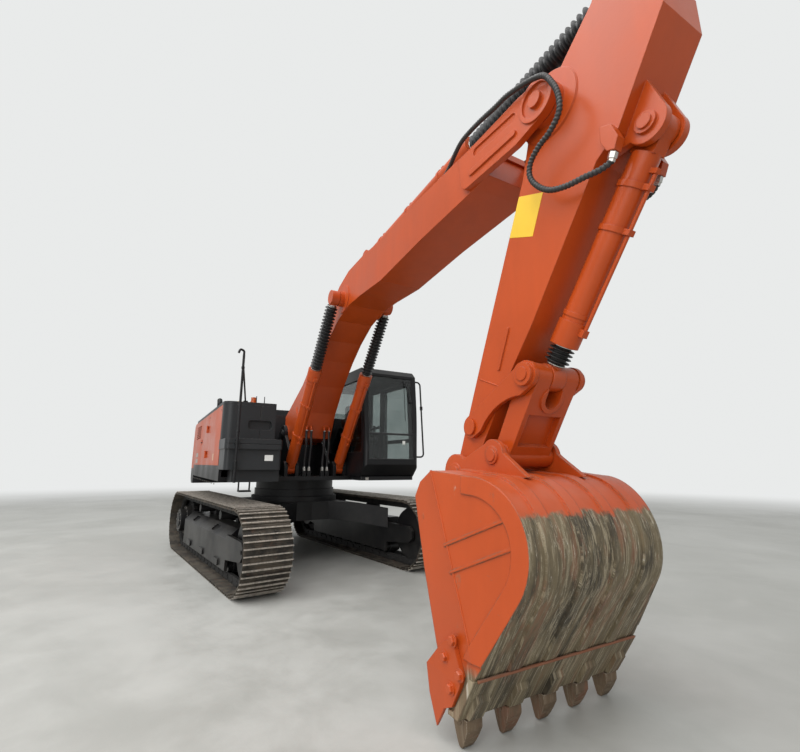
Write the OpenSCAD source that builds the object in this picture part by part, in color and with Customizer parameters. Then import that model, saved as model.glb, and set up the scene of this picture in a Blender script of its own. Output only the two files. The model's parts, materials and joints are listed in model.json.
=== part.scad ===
// Crawler excavator of the 33 tonne class, parked with its bucket's teeth just over the ground.
// Millimetres. X runs forward along the boom, Y to the machine's left, Z up from the ground.

/* [Undercarriage] */
// Length of each track over its shoes
track_len = 4850; // [4600:10:5200]
// Height of each track over its shoes
track_h = 1050; // [1000:10:1100]
// Distance between the middles of the tracks
gauge = 2590; // [2400:10:2800]
// Width of a track shoe
shoe_w = 600; // [500:10:800]
// Number of shoes on a track
shoe_n = 48; // [46:1:50]
// Thickness of a shoe's plate
shoe_t = 12; // [8:1:16]
// Height of the grousers over the plate
grouser_h = 30; // [20:1:40]
// Height of a chain link
link_h = 105; // [90:1:120]
// Turn of the undercarriage under the upper structure when parked, degrees
parked_turn = 6.5; // [-15:0.5:15]
// Height of the carbody's top face
carbody_top = 985; // [960:5:1040]
// Outside radius of the slew ring
ring_r = 690; // [640:5:740]

/* [Upper structure] */
// Height of the deck's underside
deck_z = 1345; // [1320:5:1400]
// Thickness of the deck plate
deck_t = 60; // [30:1:80]
// Width of the upper structure
body_w = 2960; // [2900:10:3100]
// Radius of the counterweight's tail about the swing axis
tail_r = 3450; // [3300:10:3600]
// Height of the counterweight's underside
cw_z = 1180; // [1150:5:1250]
// Height of the skirts' top edge
skirt_z = 1565; // [1520:5:1600]
// Height of the side panels' top edge
panel_z = 2450; // [2350:10:2550]
// Height of the engine hood's top
hood_z = 2700; // [2560:10:2750]
// Thickness of the panels and doors
wall_t = 45; // [30:1:60]

/* [Cab] */
// Front of the cab
cab_front = 1845; // [1800:5:1900]
// Length of the cab
cab_l = 1900; // [1850:5:1950]
// Side of the cab that faces the boom
cab_y = 520; // [515:1:560]
// Width of the cab
cab_w = 965; // [900:5:1000]
// Underside of the cab
cab_z = 1405; // [1400:5:1430]
// Height of the cab's roof
cab_top = 3150; // [3050:10:3250]
// Thickness of the cab's walls and door
cab_t = 60; // [40:1:80]

/* [Boom] */
// Boom foot pin, forward of the swing axis
foot_x = 220; // [180:5:260]
// Boom foot pin, above the ground
foot_z = 2100; // [2050:5:2150]
// Boom length from pin to pin
boom_len = 6358; // [6300:1:6420]
// Boom angle as parked, degrees above level
boom_rest = 17.9; // [15:0.1:20]
// Half width of the boom box
boom_hw = 260; // [240:1:265]

/* [Arm] */
// Arm length from pin to pin
arm_len = 2720; // [2700:1:2800]
// Arm angle as parked, degrees from level
arm_rest = -112.3; // [-116:0.1:-108]
// Half width of the arm box
arm_hw = 196; // [180:1:200]

/* [Bucket] */
// Width of the bucket
bucket_w = 1406; // [1300:2:1500]
// Thickness of the bucket's plates
bucket_t = 26; // [20:1:32]
// Number of teeth
tooth_n = 5; // [4:1:6]

/* [Cylinders] */
// Distance of the boom cylinders from the middle
boom_cyl_y = 400; // [395:1:402]
// Outside radius of a boom cylinder's barrel
boom_cyl_r = 87; // [80:1:90]
// Outside radius of the arm cylinder's barrel
arm_cyl_r = 100; // [90:1:105]
// Outside radius of the bucket cylinder's barrel
bucket_cyl_r = 85; // [78:1:90]
// Running clearance of pins and rods in their bores
fit = 0.5; // [0.3:0.1:0.8]
// Side clearance between moving pieces
gap = 6; // [5:0.5:8]

/* [Hidden] */
$fn = 64;

paint = "#d9481f";
dark = "#2b2c2e";
steel = "#8b8478";
black = "#1a1a1b";
glass = "#3a4446";

// Points of an arc about c from angle a0 to a1
function arc(c, r, a0, a1, n = 8) = [for (i = [0:n]) let (a = a0 + (a1 - a0) * i / n)
    c + r * [cos(a), sin(a)]];
function turned(p, a) = [p[0] * cos(a) - p[1] * sin(a), p[0] * sin(a) + p[1] * cos(a)];
function angle_to(p, q) = atan2(q[1] - p[1], q[0] - p[0]);

// An open line moved sideways by t, to its left
function side_normal(p, i) = let (a = p[max(i - 1, 0)], b = p[min(i + 1, len(p) - 1)], d = (b - a)
    / norm(b - a))
    [-d[1], d[0]];
function moved_aside(p, t) = [for (i = [0:len(p) - 1]) p[i] + t * side_normal(p, i)];
function reversed(p) = [for (i = [len(p) - 1:-1:0]) p[i]];

// Outline in X and Z, extruded from y0 to y1
module across(y0, y1) translate([0, y1, 0]) rotate([90, 0, 0]) linear_extrude(y1 - y0) children();
// Outline in Y and Z, extruded from x0 to x1
module along(x0, x1) translate([x0, 0, 0]) rotate([90, 0, 90]) linear_extrude(x1 - x0) children();
// Round bar across the machine at p = [x, z]
module bar(p, r, y0, y1) translate([p[0], y1, p[1]]) rotate([90, 0, 0]) cylinder(r = r, h = y1 - y0);
module both() { children(); mirror([0, 1, 0]) children(); }
module on_side(s) { if (s > 0) children(); else mirror([0, 1, 0]) children(); }
module box(lo, hi) translate(lo) cube(hi - lo);
// Rectangle with round corners
module rounded(lo, hi, r) {
    translate([lo[0] + r, lo[1]]) square([hi[0] - lo[0] - 2 * r, hi[1] - lo[1]]);
    translate([lo[0], lo[1] + r]) square([hi[0] - lo[0], hi[1] - lo[1] - 2 * r]);
    for (x = [lo[0] + r, hi[0] - r], y = [lo[1] + r, hi[1] - r]) translate([x, y]) circle(r);
}
// Slot with round ends between two points
module oblong(p, q, r) {
    n = r * turned([0, 1], angle_to(p, q));
    polygon([p + n, q + n, q - n, p - n]);
    for (c = [p, q]) translate(c) circle(r);
}
// Hinge along Z: the fixed half with its pin reaches back by leaf, the moving half sits above it on the pin
hinge_r = 16;
hinge_pin_r = 9;
hinge_h = 60;
leaf = 70;
leaf_t = 12;
module hinge_fixed(p, y_wall) translate([p[0], p[1], p[2]]) {
    cylinder(r = hinge_r, h = hinge_h);
    cylinder(r = hinge_pin_r, h = 2 * hinge_h + 6);
    box([-leaf, y_wall - p[1] - 1, 0], [0, y_wall - p[1] + leaf_t, hinge_h]);
}
module hinge_moving(p, y_wall) translate([p[0], p[1], p[2] + hinge_h + 2]) difference() {
    union() {
        cylinder(r = hinge_r, h = hinge_h);
        box([4, y_wall - p[1] - 1, 0], [leaf, y_wall - p[1] + leaf_t, hinge_h]);
    }
    translate([0, 0, -1]) cylinder(r = hinge_pin_r + fit, h = hinge_h + 2);
}
hinge_out = 20;

// Pins of the front, as parked, in X and Z
foot = [foot_x, foot_z];
arm_pin = foot + boom_len * [cos(boom_rest), sin(boom_rest)];
function boom_at(p) = foot + turned(p, boom_rest);
function arm_at(p) = arm_pin + turned(p, arm_rest);
bucket_pin = arm_at([arm_len, 0]);
boom_cyl_base = [1030, 1530];
boom_cyl_eye = boom_at([2910, 850]);
arm_cyl_base = boom_at([3378, 1252]);
arm_cyl_eye = arm_at([-800, 300]);
bucket_cyl_base = arm_at([276, 762]);
lever_pin = arm_at([2348, 0]);
link_top = arm_at([1836, 426]);
link_foot = bucket_pin + [427, 126];

// The origin is below the middle of the machine's outline
front_x = arm_at([-330, 740])[0];
mid_x = (front_x - tail_r) / 2;
module machine() translate([-mid_x, 0, 0]) children();
module undercarriage() machine() rotate([0, 0, parked_turn]) children();
module place(p, a) machine() translate([p[0], 0, p[1]]) rotate([0, -a, 0]) children();
module on_boom() place(foot, boom_rest) children();
module on_arm() place(arm_pin, arm_rest) children();
module on_bucket() place(bucket_pin, 0) children();
module from_to(p, q) place(p, angle_to(p, q)) children();

// Undercarriage

loop_r = track_h / 2;
half_run = track_len / 2 - loop_r;
shoe_r = loop_r - shoe_t - grouser_h;
tread_r = shoe_r - link_h;
loop_len = 4 * half_run + 2 * PI * shoe_r;
pitch = loop_len / shoe_n;
// Place and outward angle on the loop at distance d and radius r
function on_loop(d, r) =
    d < 2 * half_run ? [d - half_run, r, 90]
    : d < 2 * half_run + PI * r ? let (a = 90 - (d - 2 * half_run) / r * 180 / PI)
        [half_run + r * cos(a), r * sin(a), a]
    : d < 4 * half_run + PI * r ? [half_run - (d - 2 * half_run - PI * r), -r, -90]
    : let (a = -90 - (d - 4 * half_run - PI * r) / r * 180 / PI) [-half_run + r * cos(a), r * sin(a), a];
module stadium(r) {
    translate([-half_run, -r]) square([2 * half_run, 2 * r]);
    for (x = [-half_run, half_run]) translate([x, 0]) circle(r);
}
module shoe_outline() {
    hp = pitch / 2 + 2;
    rib = 11;
    polygon([[-hp, 0], [hp, 0], [hp, shoe_t],
        for (u = [0.36, 0, -0.36]) each [[u * pitch + rib, shoe_t],
            [u * pitch + rib * 0.6, shoe_t + grouser_h],
            [u * pitch - rib * 0.6, shoe_t + grouser_h], [u * pitch - rib, shoe_t]],
        [-hp, shoe_t]]);
}
rail_in = 75;
rail_out = 120;
module track_loop() color(steel) translate([0, 0, loop_r]) {
    across(-shoe_w / 2, shoe_w / 2)
        for (i = [0:shoe_n - 1]) let (q = on_loop((i + 0.5) * pitch, shoe_r))
            translate([q[0], q[1]]) rotate(q[2] - 90) shoe_outline();
    both() across(rail_in, rail_out) difference() { stadium(shoe_r + 1); stadium(tread_r); }
}
module track_right() undercarriage() translate([0, -gauge / 2, 0]) track_loop();
module track_left() undercarriage() translate([0, gauge / 2, 0]) track_loop();

// Track frame: a box with roller guards below it, the idler's yoke in front and the drive's plate behind
frame_hw = 205;
guard_t = 40;
frame_x0 = -1420;
frame_x1 = 1330;
seat = 0.3;
module track_frame() color(dark) difference() {
    union() {
        along(frame_x0, frame_x1) polygon([[-frame_hw, 190], [-frame_hw, 650], [-140, 720], [60, 720],
            [frame_hw, 590],
            [frame_hw, 190], [frame_hw - guard_t, 190], [frame_hw - guard_t, 350],
                [-frame_hw + guard_t, 350],
            [-frame_hw + guard_t, 190]]);
        both() across(frame_hw - guard_t - 10, frame_hw)
            polygon([[frame_x1 - 10, 330], [half_run + 70, 400],
            [half_run + 150, 470], [half_run + 150, 580], [half_run + 70, 640], [frame_x1 - 10, 650]]);
        across(-frame_hw, -frame_hw + guard_t) polygon([[frame_x0 + 10, 330], [-half_run - 120, 420],
            [-half_run - 120, 640], [frame_x0 + 10, 650]]);
        for (x = carrier_x) box([x - 60, -170, 700], [x + 60, -170 + guard_t, loop_r + tread_r - 30]);
        for (x = bump_x) across(frame_hw - 1, frame_hw + 22) translate([x, 300])
            rounded([-130, -90], [130, 0], 30);
    }
    for (x = pocket_x) translate([x, frame_hw, 590]) rotate([-38, 0, 0]) translate([0, 0, -20])
        linear_extrude(80)
        rounded([-130, -150], [130, -40], 40);
    bar([half_run + 110, 525], tie_r, frame_hw - guard_t - 20, frame_hw + 10);
}
// Middles of the recesses in the sloping cover, and of the roller guards' steps
pocket_x = [-800, 500];
bump_x = [-900, 0, 900];
// Hole for a tie-down shackle in the idler's yoke
tie_r = 30;
carrier_x = [-700, 600];
carrier_r = 66;
roller_r = 85;
roller_n = 8;
roller_x = [for (i = [0:roller_n - 1]) frame_x0 + 130 + i * (frame_x1 - frame_x0 - 260) / (roller_n - 1)];
module roller(r, flange, half) {
    bar([0, 0], r, -half, half);
    bar([0, 0], flange, -rail_in + 8, rail_in - 8);
}
module rollers() color(black) {
    for (x = roller_x) translate([x, 0, loop_r - tread_r + seat + roller_r]) {
        roller(roller_r, roller_r + 18, rail_out + 12);
        bar([0, 0], 30, -frame_hw + guard_t, frame_hw - guard_t);
    }
    for (x = carrier_x) translate([x, 0, loop_r + tread_r - seat - carrier_r]) {
        roller(carrier_r, carrier_r, rail_out);
        bar([0, 0], 28, -170 + guard_t, 0);
    }
}
module idler() color(dark) translate([half_run, 0, loop_r]) {
    bar([0, 0], tread_r - 0.8, -rail_out, rail_out);
    bar([0, 0], tread_r + 28, -rail_in + 10, rail_in - 10);
    bar([0, 0], 60, -frame_hw + guard_t + 10, frame_hw - guard_t - 10);
}
tooth_count = 21;
module sprocket() color(dark) translate([-half_run, 0, loop_r]) {
    across(-36, 36) {
        circle(tread_r - 22);
        for (i = [0:tooth_count - 1]) rotate(i * 360 / tooth_count)
            polygon([[tread_r - 40, -34], [tread_r + 34, -12], [tread_r + 34, 12], [tread_r - 40, 34]]);
    }
    bar([0, 0], 255, -frame_hw + guard_t, 120);
    bar([0, 0], 205, 119, 225);
    bar([0, 0], 120, 224, 240);
}
module track_frame_right() undercarriage() translate([0, -gauge / 2, 0]) mirror([0, 1, 0]) track_frame();
module track_frame_left() undercarriage() translate([0, gauge / 2, 0]) track_frame();
module sprocket_right() undercarriage() translate([0, -gauge / 2, 0]) mirror([0, 1, 0]) sprocket();
module sprocket_left() undercarriage() translate([0, gauge / 2, 0]) sprocket();
module idler_right() undercarriage() translate([0, -gauge / 2, 0]) mirror([0, 1, 0]) idler();
module idler_left() undercarriage() translate([0, gauge / 2, 0]) idler();
module rollers_right() undercarriage() translate([0, -gauge / 2, 0]) mirror([0, 1, 0]) rollers();
module rollers_left() undercarriage() translate([0, gauge / 2, 0]) rollers();

leg_end = gauge / 2 - frame_hw;
ring_z0 = carbody_top + 75;
ring_z1 = 1180;
ring_hole = 560;
module carbody() undercarriage() color(dark) {
    intersection() {
        along(-1600, 1600) polygon([[-leg_end, 560], [-700, 640], [-300, 690], [300, 690], [700, 640],
            [leg_end, 560],
            [leg_end, 880], [700, 960], [300, carbody_top], [-300, carbody_top], [-700, 960],
                [-leg_end, 880]]);
        translate([0, 0, 500]) linear_extrude(600) for (sx = [-1, 1], sy = [-1, 1]) scale([sx, sy])
            polygon([[-1, -1], [760, -1], [780, 280], [1400, leg_end], [760, leg_end], [330, 640],
                [-1, 640]]);
    }
    difference() {
        translate([0, 0, 860]) cylinder(r = ring_r + 50, h = ring_z0 - 860);
        translate([0, 0, 800]) cylinder(r = ring_hole, h = 400);
    }
}
module slew_ring() undercarriage() color(black) difference() {
    translate([0, 0, ring_z0]) cylinder(r = ring_r, h = ring_z1 - ring_z0);
    translate([0, 0, ring_z0 - 1]) cylinder(r = ring_hole, h = ring_z1);
}

// Upper structure

side_y = body_w / 2;
deck_x0 = -2600;
deck_x1 = 1250;
web_y0 = boom_hw + 27;
web_y1 = web_y0 + 50;
cyl_eye_hw = 55;
lug_in = boom_cyl_y - cyl_eye_hw - gap;
lug_out = boom_cyl_y + cyl_eye_hw + gap;
base_pin_r = 50;
foot_pin_r = 60;
deck_top = deck_z + deck_t;
cyl_lug_r = 105;
module cyl_lug_outline() {
    translate(boom_cyl_base) circle(cyl_lug_r);
    polygon([[boom_cyl_base[0] - cyl_lug_r, boom_cyl_base[1]],
        [boom_cyl_base[0] + cyl_lug_r, boom_cyl_base[1]],
        [boom_cyl_base[0] + cyl_lug_r, deck_top - 10], [boom_cyl_base[0] - cyl_lug_r - 60, deck_top - 10]]);
}
module main_deck() machine() color(black) {
    translate([0, 0, deck_z]) linear_extrude(deck_t)
        polygon([[deck_x0, -side_y + skirt_t], [deck_x1, -side_y + skirt_t],
        [deck_x1, side_y - skirt_t], [deck_x0, side_y - skirt_t]]);
    difference() {
        translate([0, 0, ring_z1 + fit]) cylinder(r = ring_r - 20, h = deck_z - ring_z1);
        translate([0, 0, ring_z1 - 1]) cylinder(r = ring_hole + 20, h = deck_z - ring_z1 + 1);
    }
    both() {
        across(web_y0, web_y1) {
            cyl_lug_outline();
            translate(foot) circle(170);
            polygon([[bay_x + wall_t + seat, deck_top - 10], [boom_cyl_base[0], deck_top - 10],
                [boom_cyl_base[0], boom_cyl_base[1] + 90],
                [880, 1600], foot + [170, -20], foot + [-150, 100], [bay_x + wall_t + seat, 1850]]);
        }
        across(web_y1 - 1, lug_in) translate(boom_cyl_base) circle(cyl_lug_r);
        across(lug_out, cab_y - gap) cyl_lug_outline();
        bar(boom_cyl_base, base_pin_r, web_y1 - 5, cab_y - gap);
    }
    bar(foot, foot_pin_r, -web_y1 - 30, web_y1 + 30);
    both() bar(foot, 90, web_y1 - 1, web_y1 + 24);
    both() for (y = foot_hose_y) box([hose_block[0] - 30, y - 30, deck_top - 1],
        [hose_block[0] + 30, y + 30, hose_block[1]]);
    across(-side_y, -side_y + skirt_t) polygon([[deck_x0, deck_z], [deck_x1, deck_z], [deck_x1, skirt_z],
        [deck_x0, skirt_z]]);
    across(side_y - skirt_t, side_y) polygon([[deck_x0, deck_z], [cab_back - gap, deck_z],
        [cab_back - gap, skirt_z], [deck_x0, skirt_z]]);
}
skirt_t = 40;
// Hose block on the deck in front of the boom's foot, and the hoses' places across it
hose_block = [1090, 1490];
foot_hose_y = [110, 190];
// Front wall of the engine bay
bay_x = -300;
module counterweight() machine() color(paint) difference() {
    intersection() {
        rotate_extrude($fn = 160) polygon([[0, cw_z], [tail_r - 190, cw_z], [tail_r - 60, cw_z + 70],
            [tail_r - 10, cw_z + 190],
            [tail_r, cw_z + 420], [tail_r - 25, panel_z - 120], [tail_r - 75, panel_z - 40],
                [tail_r - 170, panel_z],
            [0, panel_z]]);
        translate([0, 0, cw_z - 1]) linear_extrude(panel_z - cw_z + 2)
            rounded([-tail_r, -side_y], [deck_x0 - seat + cw_edge, side_y], cw_edge);
        box([-tail_r, -side_y, cw_z - 1], [deck_x0 - seat, side_y, panel_z + 1]);
    }
    both() for (s = [0, 1]) translate([lift_x, lift_y, panel_z - lift_deep]) linear_extrude(lift_deep + 1)
        translate([0, s * (lift_t + lift_gap) - lift_gap / 2 - lift_t / 2])
            rounded([-90, -lift_gap / 2], [90, lift_gap / 2], 20);
    both() bar([lift_x, panel_z - lift_deep / 2 - 10], lift_r, lift_y - lift_t, lift_y + lift_t);
    translate([-tail_r - 1, -260, cw_z + 250]) cube([160, 520, 90]);
}
// Round edge of the counterweight, and its two lifting eyes, each a web between two pockets in the top
cw_edge = 90;
lift_x = -2900;
lift_y = 700;
lift_t = 60;
lift_gap = 90;
lift_deep = 150;
lift_r = 35;
module right_box() machine() color(dark) difference() {
    union() {
        translate([0, 0, low_z0]) linear_extrude(ledge_z0 + 1 - low_z0)
            rounded([cover_x0, -side_y], [low_x1, box_y], edge_r);
        box([deck_x1 + seat, -side_y + 120, deck_z], [low_x1 - 100, box_y, low_z0 + 1]);
        translate([0, 0, ledge_z0]) linear_extrude(ledge_z1 - ledge_z0)
            rounded([cover_x0, -side_y - ledge_out], [low_x1 + ledge_step, box_y], edge_r);
        translate([0, 0, ledge_z1 - 1]) linear_extrude(panel_z - ledge_z1 + 1) intersection() {
            rounded([cover_x0 - cover_r, -side_y + 2], [cover_x1, box_y - 15 + cover_r], cover_r);
            translate([cover_x0, -side_y]) square([500, box_y - 15 + side_y]);
        }
        box([bay_x + wall_t + seat, box_y - 55, deck_top + seat], [cover_x0 + 1, box_y - 15, panel_z]);
    }
    box([cover_x0 + wall_t, -side_y + wall_t, low_z0 + wall_t + 60],
        [low_x1 - wall_t, box_y - wall_t, ledge_z1 - wall_t]);
    box([cover_x0 - 1, -side_y - ledge_out - 1, deck_z - 1], [deck_x1 + seat, box_y + 1, skirt_z + seat]);
    // Grab recess and the seam of the cover's lid
    translate([cover_x1 - 50, 0, 0]) rotate([90, 0, 90]) linear_extrude(60)
        rounded([-1130, 2090], [-785, 2225], 45);
    box([cover_x1 - 7, -960, ledge_z1 + 1], [cover_x1 + 1, -954, panel_z + 1]);
    box([low_x1 + 30, -side_y - 20, (ledge_z0 + ledge_z1) / 2 - 3],
        [low_x1 + 50, box_y + 1, (ledge_z0 + ledge_z1) / 2 + 3]);
}
// Right front: back of the black cover, its front, the lower box's front, and the heights of the ledge between them
cover_x0 = 1120;
cover_x1 = 1290;
cover_r = 130;
edge_r = 60;
low_x1 = 1700;
low_z0 = 1510;
ledge_z0 = 1790;
ledge_z1 = 1930;
ledge_out = 14;
ledge_step = 45;
// Side of the right box that faces the boom
box_y = -715;
module side_wall(x0, x1) across(side_y - wall_t, side_y)
    polygon([[x0, skirt_z + seat], [x1, skirt_z + seat],
    [x1, panel_z], [x0, panel_z]]);
seam_x = -420;
door_x0 = -1500;
module right_panels() machine() mirror([0, 1, 0]) color(paint) {
    side_wall(seam_x + 3, cover_x0 - seat);
    difference() {
        side_wall(deck_x0, door_x0 - 3);
        grille(deck_x0 + 130, door_x0 - 160);
    }
    for (z = door_hinge_z) hinge_fixed_flip(seam_x - 3, z);
}
module right_door() machine() mirror([0, 1, 0]) color(paint) {
    difference() {
        side_wall(door_x0, seam_x - 3);
        across(side_y - 12, side_y + 1) translate([door_x0 + 90, 1990]) rounded([0, -50], [130, 50], 30);
    }
    for (z = door_hinge_z) hinge_moving_flip(seam_x - 3, z);
}
door_hinge_z = [skirt_z + 120, panel_z - 330];
// Hinges of a door that lies behind its hinge
module hinge_fixed_flip(x, z) translate([x, 0, 0]) mirror([1, 0, 0])
    hinge_fixed([0, side_y + hinge_out, z], side_y);
module hinge_moving_flip(x, z) translate([x, 0, 0]) mirror([1, 0, 0])
    hinge_moving([0, side_y + hinge_out, z], side_y);
// Slots through a side wall
slot_pitch = 38;
module grille(x0, x1) for (z = [2090 : slot_pitch : 2330]) across(side_y - wall_t - 1, side_y + 1)
    rounded([x0, z], [x1, z + 20], 9);
cab_back = cab_front - cab_l;
module left_panels() machine() color(paint) {
    side_wall(seam_x + 3, cab_back - 30);
    difference() {
        side_wall(deck_x0, door_x0 - 3);
        grille(deck_x0 + 130, door_x0 - 190);
    }
    for (z = door_hinge_z) hinge_fixed([door_x0, side_y + hinge_out, z], side_y);
}
module left_door() machine() color(paint) {
    difference() {
        side_wall(door_x0, seam_x - 3);
        across(side_y - 12, side_y + 1) translate([seam_x - 220, 1990]) rounded([0, -50], [130, 50], 30);
    }
    for (z = door_hinge_z) hinge_moving([door_x0, side_y + hinge_out, z], side_y);
}
hood_x0 = -2500;
hood_x1 = -1150;
hood_y = 760;
module top_cover() machine() color(dark) {
    difference() {
        union() {
            box([deck_x0, -side_y, panel_z + seat], [bay_x + wall_t, side_y, panel_z + wall_t]);
            translate([0, 0, panel_z + seat]) linear_extrude(wall_t - seat) intersection() {
                rounded([bay_x - cover_r, -side_y], [cover_x1, box_y - 15 + cover_r], cover_r);
                translate([bay_x, -side_y]) square([2000, box_y - 15 + side_y]);
            }
        }
        box([hood_x0, -hood_y, panel_z - 1], [hood_x1, hood_y, panel_z + wall_t + 1]);
        box([bay_x - 1, cab_y - 60, panel_z - 1], [bay_x + 200, side_y + 1, panel_z + wall_t + 1]);
    }
    box([bay_x, -side_y + wall_t + seat, deck_top + seat],
        [bay_x + wall_t, side_y - wall_t - seat, panel_z + 1]);
    for (y = hood_hinge_y) {
        bar(hood_hinge, hinge_r, y, y + hinge_h);
        bar(hood_hinge, hinge_pin_r, y - hinge_h - 6, y + 1);
        box([hood_hinge[0], y, panel_z + wall_t - 1], [hood_x1 + 60, y + hinge_h, hood_hinge[1]]);
    }
    // Raised lid over the cooler, ahead of the hood
    difference() {
        box([hood_x1 + 90, -side_y + 110, panel_z + wall_t - 1],
            [bay_x - 120, -side_y + 560, panel_z + wall_t + 70]);
        for (x = [hood_x1 + 140 : 60 : bay_x - 200])
            box([x, -side_y + 150, panel_z + wall_t + 50],
            [x + 30, -side_y + 520, panel_z + wall_t + 80]);
    }
}
// Axis of the hood's hinges, and their places across
hood_hinge = [hood_x1 + 14, panel_z + wall_t + 20];
hood_hinge_y = [-420, 480];
module engine_hood() machine() color(dark) {
    difference() {
        along(hood_x0 + gap, hood_x1 - gap) polygon(hood_section(0, panel_z));
        along(hood_x0 + gap + wall_t, hood_x1 - gap - wall_t) polygon(hood_section(wall_t, panel_z - 1));
        for (s = [-1, 1], x = [hood_x0 + 200 : 90 : hood_x1 - 250])
            translate([x, s * (hood_y - 90 - wall_t), hood_z - 1])
            linear_extrude(100, center = true)
                rounded([0, -260 * (1 + s) / 2], [30, 260 * (1 - s) / 2], 14);
    }
    for (y = hood_hinge_y) difference() {
        union() {
            bar(hood_hinge, hinge_r, y - hinge_h - 2, y - 2);
            box([hood_x1 - gap - 2, y - hinge_h - 2, hood_hinge[1] - 8],
                [hood_hinge[0], y - 2, hood_hinge[1] + 8]);
        }
        bar(hood_hinge, hinge_pin_r + fit, y - hinge_h - 3, y);
    }
}
function hood_section(t, z) = [[-hood_y + gap + t, z], [-hood_y + 60 + t, hood_z - 60],
    [-hood_y + 120 + t, hood_z - t],
    [hood_y - 120 - t, hood_z - t], [hood_y - 60 - t, hood_z - 60], [hood_y - gap - t, z]];
module engine_block() machine() color(steel) box([-2350, -800, deck_top], [-1500, 750, 2250]);
module exhaust() machine() color(black) translate([-1900, -1150, panel_z + wall_t + seat]) {
    cylinder(r = 80, h = 50);
    translate([0, 0, 50]) cylinder(r = 52, h = 280);
    translate([-110, 0, 330]) rotate([90, 0, 0]) rotate_extrude(angle = 55) translate([110, 0]) circle(52);
}

// Cab

cab_y1 = cab_y + cab_w;
cab_side = [[cab_back, cab_z], [cab_front - 180, cab_z], [cab_front, cab_z + 190], [cab_front, cab_z + 420],
    [cab_front - 110, cab_top - 90], [cab_front - 210, cab_top], [cab_back + 90, cab_top],
        [cab_back, cab_top - 90]];
cab_room = [[cab_back + cab_t, cab_z + cab_t], [cab_front - 200, cab_z + cab_t],
    [cab_front - cab_t, cab_z + 220],
    [cab_front - cab_t, cab_z + 420], [cab_front - 110 - cab_t, cab_top - 110],
        [cab_front - 240, cab_top - cab_t],
    [cab_back + 110, cab_top - cab_t], [cab_back + cab_t, cab_top - 110]];
door_x = [650, cab_front - 130];
door_z = [cab_z + 60, cab_top - 150];
module door_outline(m) polygon([[door_x[0] + m, door_z[0] + m], [door_x[1] - 90 - m, door_z[0] + m],
    [door_x[1] - m, door_z[0] + 130 + m], [door_x[1] - m, door_z[0] + 420],
        [door_x[1] - 90 - m, door_z[1] - 60 - m],
    [door_x[1] - 150 - m, door_z[1] - m], [door_x[0] + m, door_z[1] - m]]);
front_win = [cab_y + 70, cab_y1 - 70, cab_z + 270, cab_top - 130];
side_win = [[330, 1790], [cab_front - 140, 1790], [cab_front - 190, cab_top - 190], [330, cab_top - 190]];
rear_win = [cab_y + 130, cab_y1 - 130, 2250, cab_top - 180];
quarter_win = [[120, 2000], [door_x[0] - 110, 2000], [door_x[0] - 110, cab_top - 190],
    [120, cab_top - 190]];
module cab_shell() machine() color(black) {
    difference() {
        intersection() {
            across(cab_y, cab_y1) polygon(cab_side);
            translate([0, 0, cab_z - 1]) linear_extrude(cab_top - cab_z + 2)
                rounded([cab_back, cab_y], [cab_front, cab_y1], cab_r);
        }
        across(cab_y + cab_t, cab_y1 - cab_t) polygon(cab_room);
        box([cab_front - 400, front_win[0], front_win[2]], [cab_front + 10, front_win[1], front_win[3]]);
        across(cab_y - 10, cab_y + cab_t + 10) polygon(side_win);
        across(cab_y1 - cab_t - 10, cab_y1 + 10) polygon(quarter_win);
        box([cab_back - 10, rear_win[0], rear_win[2]], [cab_back + 110, rear_win[1], rear_win[3]]);
        across(cab_y1 - cab_t - 10, cab_y1 + 10) door_outline(-gap / 2);
    }
    // Plinth, roof hatch and rain strip
    translate([0, 0, cab_z - 55]) linear_extrude(56)
        rounded([deck_x1 + gap, cab_y + 8], [cab_front - 150, cab_y1 - 8], 40);
    translate([0, 0, cab_top - 1]) linear_extrude(26)
        rounded([cab_back + 260, cab_y + 190], [cab_front - 560, cab_y1 - 190], 60);
    for (z = cab_hinge_z) hinge_fixed([door_x[0], cab_y1 + hinge_out, z], cab_y1);
}
cab_r = 70;
cab_hinge_z = [1700, 2700];
glass_t = 8;
module pane(y0, y1, pts) across(y0, y1) polygon(pts);
module cab_glass() machine() color(glass) {
    across(front_win[0] + seat, front_win[1] - seat)
        polygon([[cab_front - 30, front_win[2] + seat], [cab_front - 22, front_win[2] + seat],
        [cab_front - 22, cab_z + 420], [cab_front - 127, front_win[3] - seat],
            [cab_front - 135, front_win[3] - seat], [cab_front - 30, cab_z + 420]]);
    across(cab_y + 25, cab_y + 25 + glass_t) polygon(side_win);
    across(cab_y1 - 25 - glass_t, cab_y1 - 25) polygon(quarter_win);
    box([cab_back + 25, rear_win[0], rear_win[2]], [cab_back + 25 + glass_t, rear_win[1], rear_win[3]]);
}
module cab_door() machine() color(black) {
    across(cab_y1 - cab_t, cab_y1) difference() { door_outline(gap / 2); door_outline(75); }
    across(cab_y1 - cab_t, cab_y1) translate([door_x[0] + 60, 1960])
        square([door_x[1] - door_x[0] - 120, 60]);
    for (z = cab_hinge_z) hinge_moving([door_x[0], cab_y1 + hinge_out, z], cab_y1);
    bar([door_x[1] - 120, 1990], 22, cab_y1 - 1, cab_y1 + 28);
}
module door_glass() machine() color(glass) across(cab_y1 - 25 - glass_t, cab_y1 - 25) difference() {
    door_outline(75 + seat);
    translate([0, 1960 - seat]) square([3000, 60 + 2 * seat]);
}
seat_mid = cab_y + cab_w / 2;
module seat() machine() color(dark) {
    box([420, seat_mid - 250, 1960 + seat], [920, seat_mid + 250, 2080]);
    across(seat_mid - 240, seat_mid + 240) polygon([[400, 2080 + seat], [520, 2080 + seat], [440, 2700],
        [320, 2700]]);
}
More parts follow.
